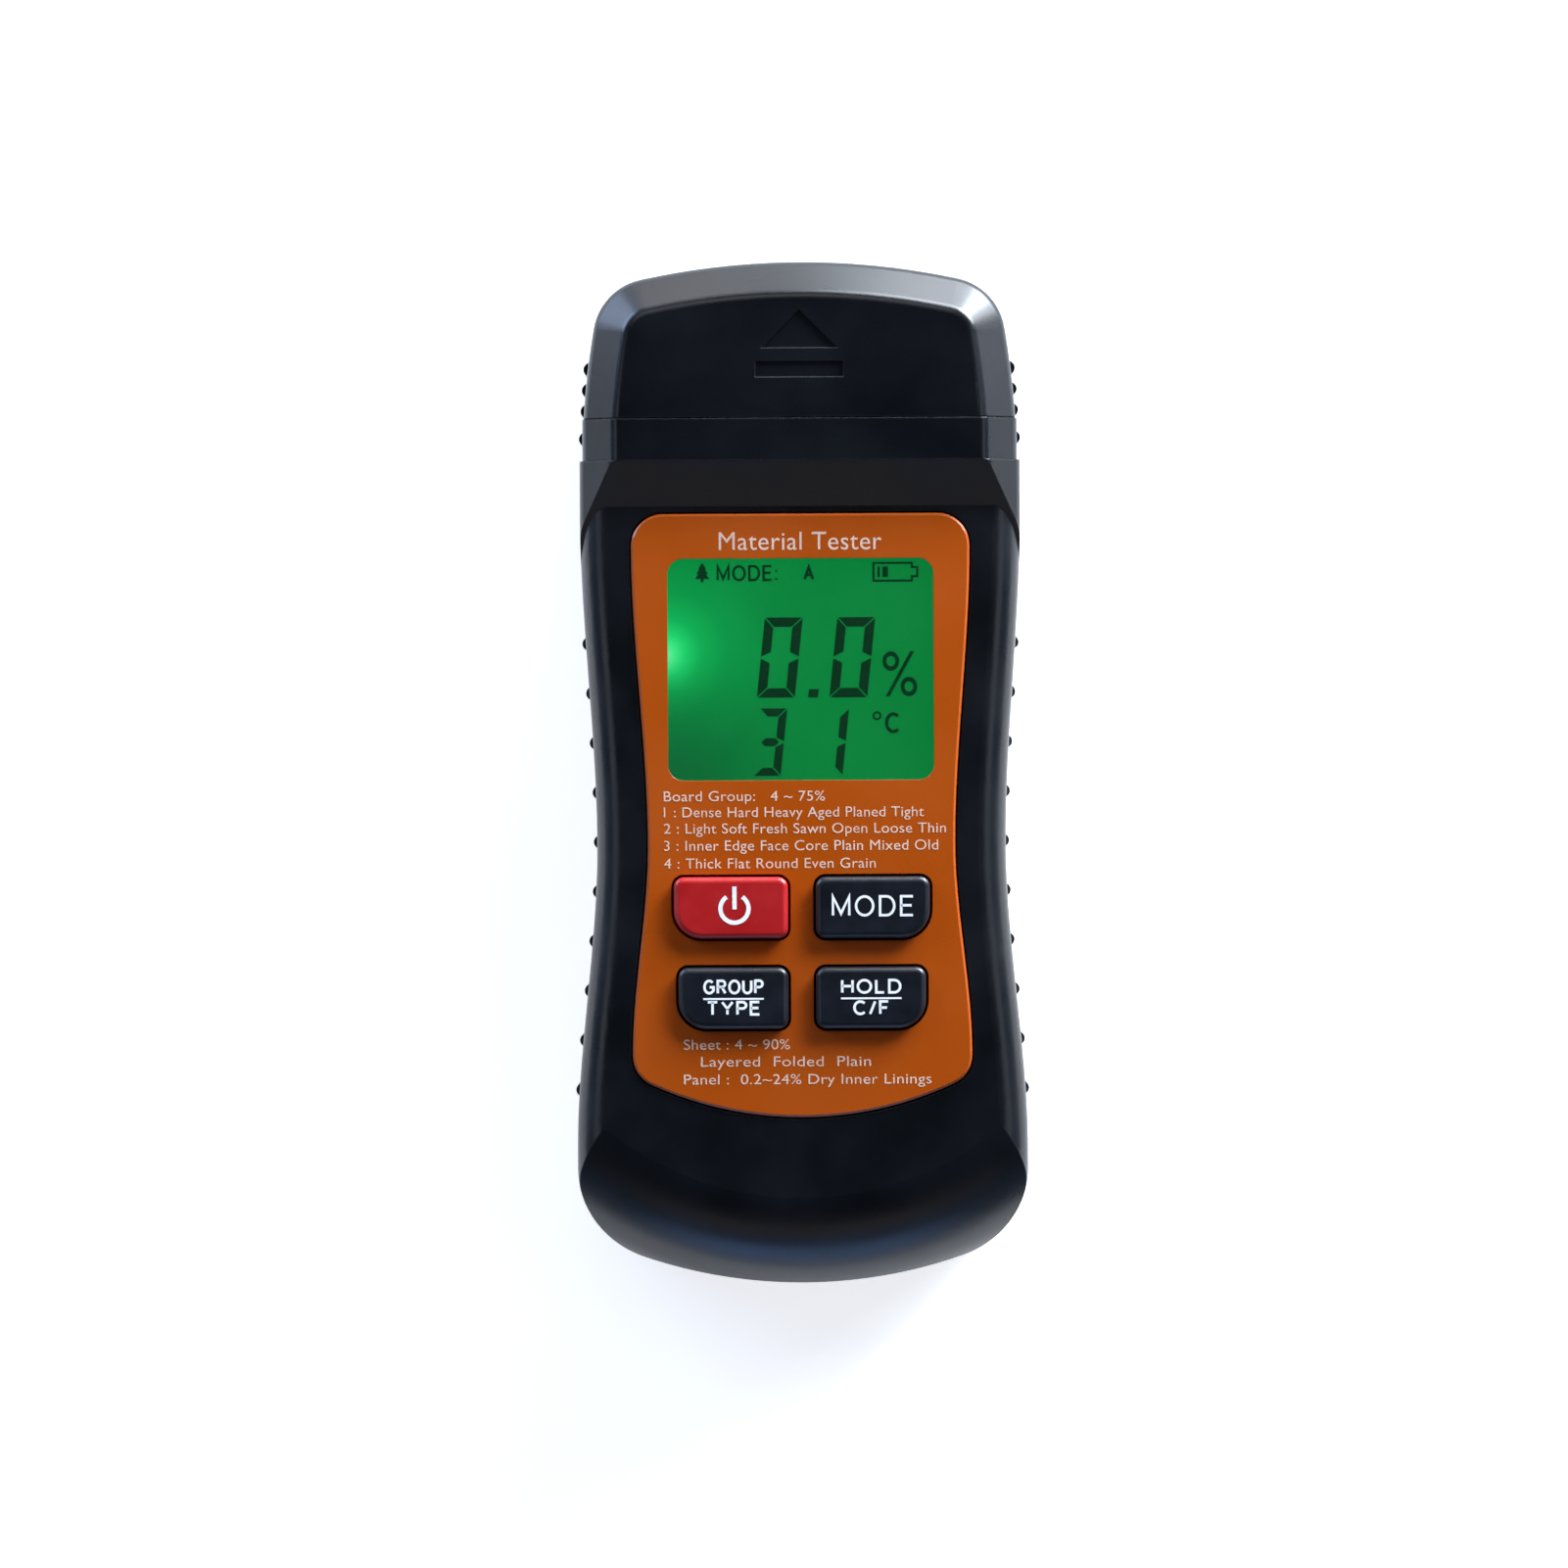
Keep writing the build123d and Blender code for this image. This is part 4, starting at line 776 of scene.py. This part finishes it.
@dataclass
class Display(Dressed):
    """The lit display: window, glass, frame, light guide and the figures on the glass.

    Figures, words and signs have their places in millimetres from the window's middle.
    """

    finishes: dict[str, Grained] = field(default_factory=lambda: {
        "display_window": WINDOW_ACRYLIC, "lcd_frame": FRAME_PC, "light_guide": GUIDE_ACRYLIC,
        "contact_strip": MAT_GREY})
    film: float = 0.04
    lamp_above_middle: float = 2.0
    figures: tuple[Figure, ...] = (
        Figure("figure_tens", "0", -6.2, -4.0, 5.35, 11.3, 1.35),
        Figure("figure_units", "0", 4.0, -4.0, 5.35, 11.3, 1.35),
        Figure("figure_degree_tens", "3", -6.8, -15.0, 3.9, 9.5, 1.15),
        Figure("figure_degree_units", "1", 1.9, -15.0, 3.9, 9.5, 1.15),
    )
    words: tuple[Words | Strokes, ...] = (
        Words("sign_percent", "%", 11.5, 16.4, -3.8, 6.2),
        Strokes("sign_celsius", "C", 11.8, 14.0, -9.1, 3.0, 0.5),
        Strokes("word_mode", "MODE:", -11.8, -3.2, 12.4, 2.3, 0.36),
        Strokes("word_group", "A", 0.4, 2.0, 12.45, 2.1, 0.4),
    )
    point: tuple[Point, ...] = ((1.0, -4.0), (2.4, -4.0), (2.55, -2.8), (1.15, -2.8))
    battery_place: Point = (10.3, 12.4)
    tree_place: Point = (-13.8, 12.3)
    ring_place: Point = (10.7, -6.6)
    ring_radius: float = 0.5
    ring_line: float = 0.3

    def light_glass(self) -> None:
        """Dresses the glass as a cell lit from the lamp at its left edge, and the lamp too."""
        low, high = box("lcd_glass")
        lamp = (low.x, (low.y + high.y) / 2 + self.lamp_above_middle, high.z)
        # Liquid-crystal cell under a polariser: an even green glow that starts at the lamp.
        self.finishes["lcd_glass"] = Backlit(
            "liquid_crystal_cell_backlit", "#06331A", "#083A1E", 10, 2.0, 0.001, 0.4, ior=1.5,
            specular=0.2, lamp=lamp, dim_corner=(low.x, low.y, high.z),
            steps=((0.0, "#8CFFC0"), (1.0, "#067C36"), (0.035, "#46FA92"), (0.07, "#1FDC72"),
                   (0.12, "#0DB457"), (0.2, "#069A48"), (0.36, "#06873D")),
            reach_mm=44, dim="#0A5C2E", dim_mm=24)
        self.finishes["backlight_lamp"] = Glowing(
            "epoxy_lamp_lens", "#BFE8CC", "#D8F5E0", 1, 0.3, 0.002, 0.2, ior=1.5, glow="#32FF8C")

    def place_figures(self) -> None:
        """Lays the figures, signs and words on the glass."""
        window = middle("display_window")
        top = box("lcd_glass")[1].z + self.film / 4
        x, y = window.x, window.y
        films = {f.name: replace(f, left=x + f.left, base=y + f.base).shapes()
                 for f in self.figures}
        films["figure_point"] = [[(x + dx, y + dy) for dx, dy in self.point]]
        films["sign_battery"] = self.battery_sign(x + self.battery_place[0], y + self.battery_place[1])
        films["sign_material"] = self.tree_sign(x + self.tree_place[0], y + self.tree_place[1])
        for name, shapes in films.items():
            self.lay(name, raise_film(name, shapes, top, self.film))
        for word in self.words:
            line = replace(word, left=x + word.left, right=x + word.right,
                           baseline=y + word.baseline)
            self.lay(line.name, line.mesh(top, self.film))
        turns = (math.tau * i / 16 for i in range(16))
        ring = [(x + self.ring_place[0] + self.ring_radius * math.cos(a),
                 y + self.ring_place[1] + self.ring_radius * math.sin(a)) for a in turns]
        self.lay("sign_degree", raise_film(
            "sign_degree", band(ring, self.ring_line, closed=True), top, self.film))

    def lay(self, name: str, mesh: bpy.types.Mesh) -> None:
        """Puts one film on the glass.

        Args:
            name: the piece's name.
            mesh: its mesh.
        """
        make_piece(name, mesh, "meter", FIGURE_LC)

    @staticmethod
    def battery_sign(left: float, base: float) -> list[list[Point]]:
        """Gives an outlined cell with a nub and two bars.

        Args:
            left: its left edge in millimetres.
            base: its lowest edge.

        Returns:
            Closed outlines in millimetres.
        """
        length, height, line, nub = 5.4, 2.5, 0.32, 0.75
        rim = [(left, base), (left + length, base), (left + length, base + 0.6),
               (left + length + nub, base + 0.6), (left + length + nub, base + height - 0.6),
               (left + length, base + height - 0.6), (left + length, base + height),
               (left, base + height)]
        bars = []
        for step, wide in ((0.55, 0.35), (1.25, 0.8)):
            x = left + step
            bars.append([(x, base + 0.5), (x + wide, base + 0.5), (x + wide, base + height - 0.5),
                         (x, base + height - 0.5)])
        return band(rim, line, closed=True) + bars

    @staticmethod
    def tree_sign(middle_x: float, base: float) -> list[list[Point]]:
        """Gives a plain fir tree of three tiers on a trunk.

        Args:
            middle_x: its middle in millimetres.
            base: its lowest edge.

        Returns:
            One closed outline in millimetres.
        """
        half = [(0.22, 0.0), (0.22, 0.45), (1.05, 0.45), (0.5, 1.15), (0.85, 1.15), (0.38, 1.85),
                (0.6, 1.85), (0.0, 2.75)]
        return [[(middle_x + x, base + y) for x, y in half]
                + [(middle_x - x, base + y) for x, y in reversed(half[:-1])]]


@dataclass
class Keypad(Dressed):
    """The four silicone keys, their carbon pills, the mat and the marks on the keys."""

    finishes: dict[str, Grained] = field(default_factory=lambda: {
        "power_key": KEY_RED, "wood_key": KEY_BLACK, "wall_key": KEY_BLACK, "hold_key": KEY_BLACK,
        "power_pill": CARBON, "wood_pill": CARBON, "wall_pill": CARBON, "hold_pill": CARBON,
        "key_mat": MAT_GREY, "contact_pads": GOLD})
    film: float = 0.03
    pen: float = 0.36

    def mark_keys(self) -> None:
        """Prints the power sign and the words on the keys."""
        power = middle("power_key")
        top = box("power_key")[1].z
        ring_radius, stroke, gap = 1.98, 0.6, math.radians(34)
        sweep = [math.pi / 2 + gap + (math.tau - 2 * gap) * i / 36 for i in range(37)]
        centre = (power.x + 0.5, power.y - 0.1)
        ring = [(centre[0] + ring_radius * math.cos(a), centre[1] + ring_radius * math.sin(a))
                for a in sweep]
        bar = band([(centre[0], centre[1] - 0.1), (centre[0], centre[1] + 3.1)], stroke)
        mesh = raise_film("mark_power", band(ring, stroke) + bar, top, self.film)
        make_piece("mark_power", mesh, "power_key", INK_WHITE)
        self.print_word("wood_key", "mark_mode", "MODE", 11.6, -1.3, 3.0)
        for key, upper, lower, widths in (("wall_key", "GROUP", "TYPE", (8.5, 7.6)),
                                          ("hold_key", "HOLD", "C/F", (8.5, 5.1))):
            name = upper.lower()
            self.print_word(key, f"mark_{name}", upper, widths[0], 0.55, 2.1)
            self.print_word(key, f"mark_{name}_second", lower, widths[1], -2.45, 2.1)
            place = middle(key)
            line = band([(place.x - widths[0] / 2, place.y - 0.08),
                         (place.x + widths[0] / 2, place.y - 0.08)], 0.26)
            mesh = raise_film(f"mark_{name}_line", line, box(key)[1].z, self.film)
            make_piece(f"mark_{name}_line", mesh, key, INK_WHITE)

    def print_word(self, key: str, name: str, text: str, width: float, rise: float, capital: float) -> None:
        """Prints one word on a key.

        Args:
            key: the key's node and body.
            name: the piece's name.
            text: the word.
            width: its length in millimetres.
            rise: its baseline above the key's middle.
            capital: the height of its capitals.
        """
        place = middle(key)
        word = Strokes(name, text, place.x - width / 2, place.x + width / 2, place.y + rise, capital,
                       self.pen)
        mesh = word.mesh(box(key)[1].z, self.film)
        make_piece(name, mesh, key, INK_WHITE)


@dataclass
class Inside(Dressed):
    """The board and its parts, the battery and its leads, and the two measuring pins."""

    finishes: dict[str, Grained] = field(default_factory=lambda: {
        "main_board": BOARD, "board_screws": PART_STEEL, "controller_chip": CHIP_EPOXY,
        "buzzer": FRAME_PC, "timing_crystal": PART_STEEL, "board_resistors": RESISTOR,
        "temperature_sensor": BEAD, "battery_pad": FOAM, "battery_snap": WIRE_BLACK,
        "red_battery_lead": WIRE_RED, "black_battery_lead": WIRE_BLACK, "pin_block": BLOCK_NYLON,
        "left_pin_socket": BRASS, "right_pin_socket": BRASS, "left_pin": PIN_STEEL,
        "right_pin": PIN_STEEL, "left_pin_lead": WIRE_RED, "right_pin_lead": WIRE_BLACK})

    def wrap_battery(self) -> None:
        """Wraps the battery in a printed steel jacket with plain bands."""
        low, high = box("battery")
        # Tin-plated steel can with a printed jacket: a dark band, a copper band and bare metal.
        self.finishes["battery"] = Banded(
            "tinplate_printed_jacket", "#16171A", "#16171A", 12, 0.6, 0.003, 0.3, ior=1.5, coat=0.4,
            start_mm=low.y, length_mm=high.y - low.y,
            bands=((0.0, "#1B1D21"), (0.62, "#C9CCCE"), (0.65, "#B4642C"), (0.94, "#A9ADB0")))


# ---- Studio ----


@dataclass(frozen=True)
class SoftBox:
    """A broad lamp that faces the object, on a bearing in degrees clockwise from +Y.

    Its rise is in degrees, its distance and size in millimetres, and its power in watts.
    """

    name: str
    azimuth: float
    elevation: float
    distance: float
    width: float
    height: float
    power: float
    colour: str


@dataclass
class Studio:
    """A plain pale floor, soft lamps, a dim ceiling over bright walls, and the camera."""

    floor_half: float = 1500.0
    floor_cells: int = 24
    floor_drop: float = 0.2
    lamps: tuple[SoftBox, ...] = (
        SoftBox("lamp_right", 33, 13, 1200, 1280, 560, 42, "#F0F7FF"),
        SoftBox("lamp_left", 308, 13, 1200, 800, 560, 13, "#BCD6FF"),
        SoftBox("lamp_corner", 40, 13, 1200, 400, 560, 28, "#E6F2FF"),
        SoftBox("lamp_warm", 349, 10, 1200, 330, 400, 1.0, "#FFE2D0"),
        SoftBox("lamp_high_head", 350, 58, 1200, 700, 400, 1.2, "#FFFAF2"),
        SoftBox("lamp_high_left", 262, 50, 1200, 600, 400, 0.8, "#E8F0FF"),
        SoftBox("lamp_high_right", 92, 50, 1200, 600, 400, 0.8, "#E8F0FF"),
        SoftBox("lamp_ramp", 180, 42, 1200, 900, 300, 0.35, "#FFEBD8"),
        SoftBox("lamp_foot", 180, 14, 1200, 900, 420, 2.2, "#8CB8FF"),
    )
    camera_height: float = 1500.0
    camera_x: float = -2.43
    camera_y: float = -1.53
    camera_roll: float = -0.29
    focus_level: float = 15.0
    view_width: float = 222.4
    sensor: float = 36.0

    def lay_floor(self) -> None:
        """Lays a matt white floor under the object."""
        bm = bmesh.new()
        bmesh.ops.create_grid(bm, x_segments=self.floor_cells, y_segments=self.floor_cells,
                              size=self.floor_half * MM)
        mesh = bpy.data.meshes.new("floor")
        bm.to_mesh(mesh)
        bm.free()
        # Matt white board, rolled smooth: an even pale ground that takes a weak shadow.
        board = Glowing("paper_board_matt_white", "#F3F4F5", "#F8F9FA", 60, 2.0, 0.01, 0.85,
                        ior=1.45, specular=0.1, glow="#DCDBDA")
        mesh.materials.append(board.material())
        floor = bpy.data.objects.new("floor", mesh)
        floor.location = (0, 0, -self.floor_drop * MM)
        bpy.context.scene.collection.objects.link(floor)
        LOG.info("floor laid")

    def hang_lamps(self) -> None:
        """Hangs each soft box on its bearing, facing the object."""
        for lamp in self.lamps:
            light = bpy.data.lights.new(lamp.name, "AREA")
            light.shape = "RECTANGLE"
            light.size = lamp.width * MM
            light.size_y = lamp.height * MM
            light.energy = lamp.power
            light.color = linear(lamp.colour)[:3]
            stand = bpy.data.objects.new(lamp.name, light)
            bearing, rise = math.radians(lamp.azimuth), math.radians(lamp.elevation)
            away = Vector((math.sin(bearing) * math.cos(rise), math.cos(bearing) * math.cos(rise),
                           math.sin(rise)))
            stand.location = away * lamp.distance * MM
            stand.rotation_euler = away.to_track_quat("Z", "Y").to_euler()
            bpy.context.scene.collection.objects.link(stand)
            LOG.info("lamp %s hung", lamp.name)

    def tint_room(self) -> None:
        """Shades the room from bright walls to a dark ceiling, so that flat faces stay black."""
        world = bpy.data.worlds.new("room")
        world.use_nodes = True
        tree = world.node_tree
        tree.nodes.clear()
        facing = add_node(tree, "ShaderNodeTexCoord").outputs["Generated"]
        rise = add_node(tree, "ShaderNodeSeparateXYZ", {0: facing}).outputs[2]
        ramp = add_node(tree, "ShaderNodeValToRGB", {0: rise})
        stops = ((0.0, "#8494AC"), (1.0, "#0B111B"), (0.4, "#5A6C88"), (0.65, "#2B3545"),
                 (0.85, "#121924"))
        elements = ramp.color_ramp.elements
        for i, (stop, code) in enumerate(stops):
            element = elements[i] if i < 2 else elements.new(stop)
            element.position = stop
            element.color = linear(code)
        sky = add_node(tree, "ShaderNodeBackground", {"Color": ramp.outputs["Color"], "Strength": 1.0})
        add_node(tree, "ShaderNodeOutputWorld", {"Surface": sky.outputs["Background"]})
        bpy.context.scene.world = world
        bpy.context.scene.view_settings.view_transform = "Standard"
        LOG.info("room tinted")

    def place_camera(self) -> None:
        """Places the camera straight above the object, looking down."""
        camera = bpy.data.cameras.new("camera")
        camera.sensor_width = self.sensor
        camera.lens = self.sensor * self.camera_height / self.view_width
        holder = bpy.data.objects.new("camera", camera)
        holder.location = Vector((self.camera_x, self.camera_y,
                                  self.focus_level + self.camera_height)) * MM
        holder.rotation_euler = (0, 0, math.radians(self.camera_roll))
        bpy.context.scene.collection.objects.link(holder)
        bpy.context.scene.camera = holder
        LOG.info("camera placed")


def main() -> None:
    """Builds the studio, then dresses each sub-assembly in order."""
    logging.basicConfig(level=logging.INFO, format="%(message)s")
    studio = Studio()
    studio.place_camera()
    studio.lay_floor()
    studio.hang_lamps()
    studio.tint_room()
    housing = Housing()
    housing.dress()
    plate = Faceplate()
    plate.dress()
    plate.print_words()
    display = Display()
    display.light_glass()
    display.dress()
    display.place_figures()
    keypad = Keypad()
    keypad.dress()
    keypad.mark_keys()
    inside = Inside()
    inside.wrap_battery()
    inside.dress()


if __name__ == "__main__":
    main()
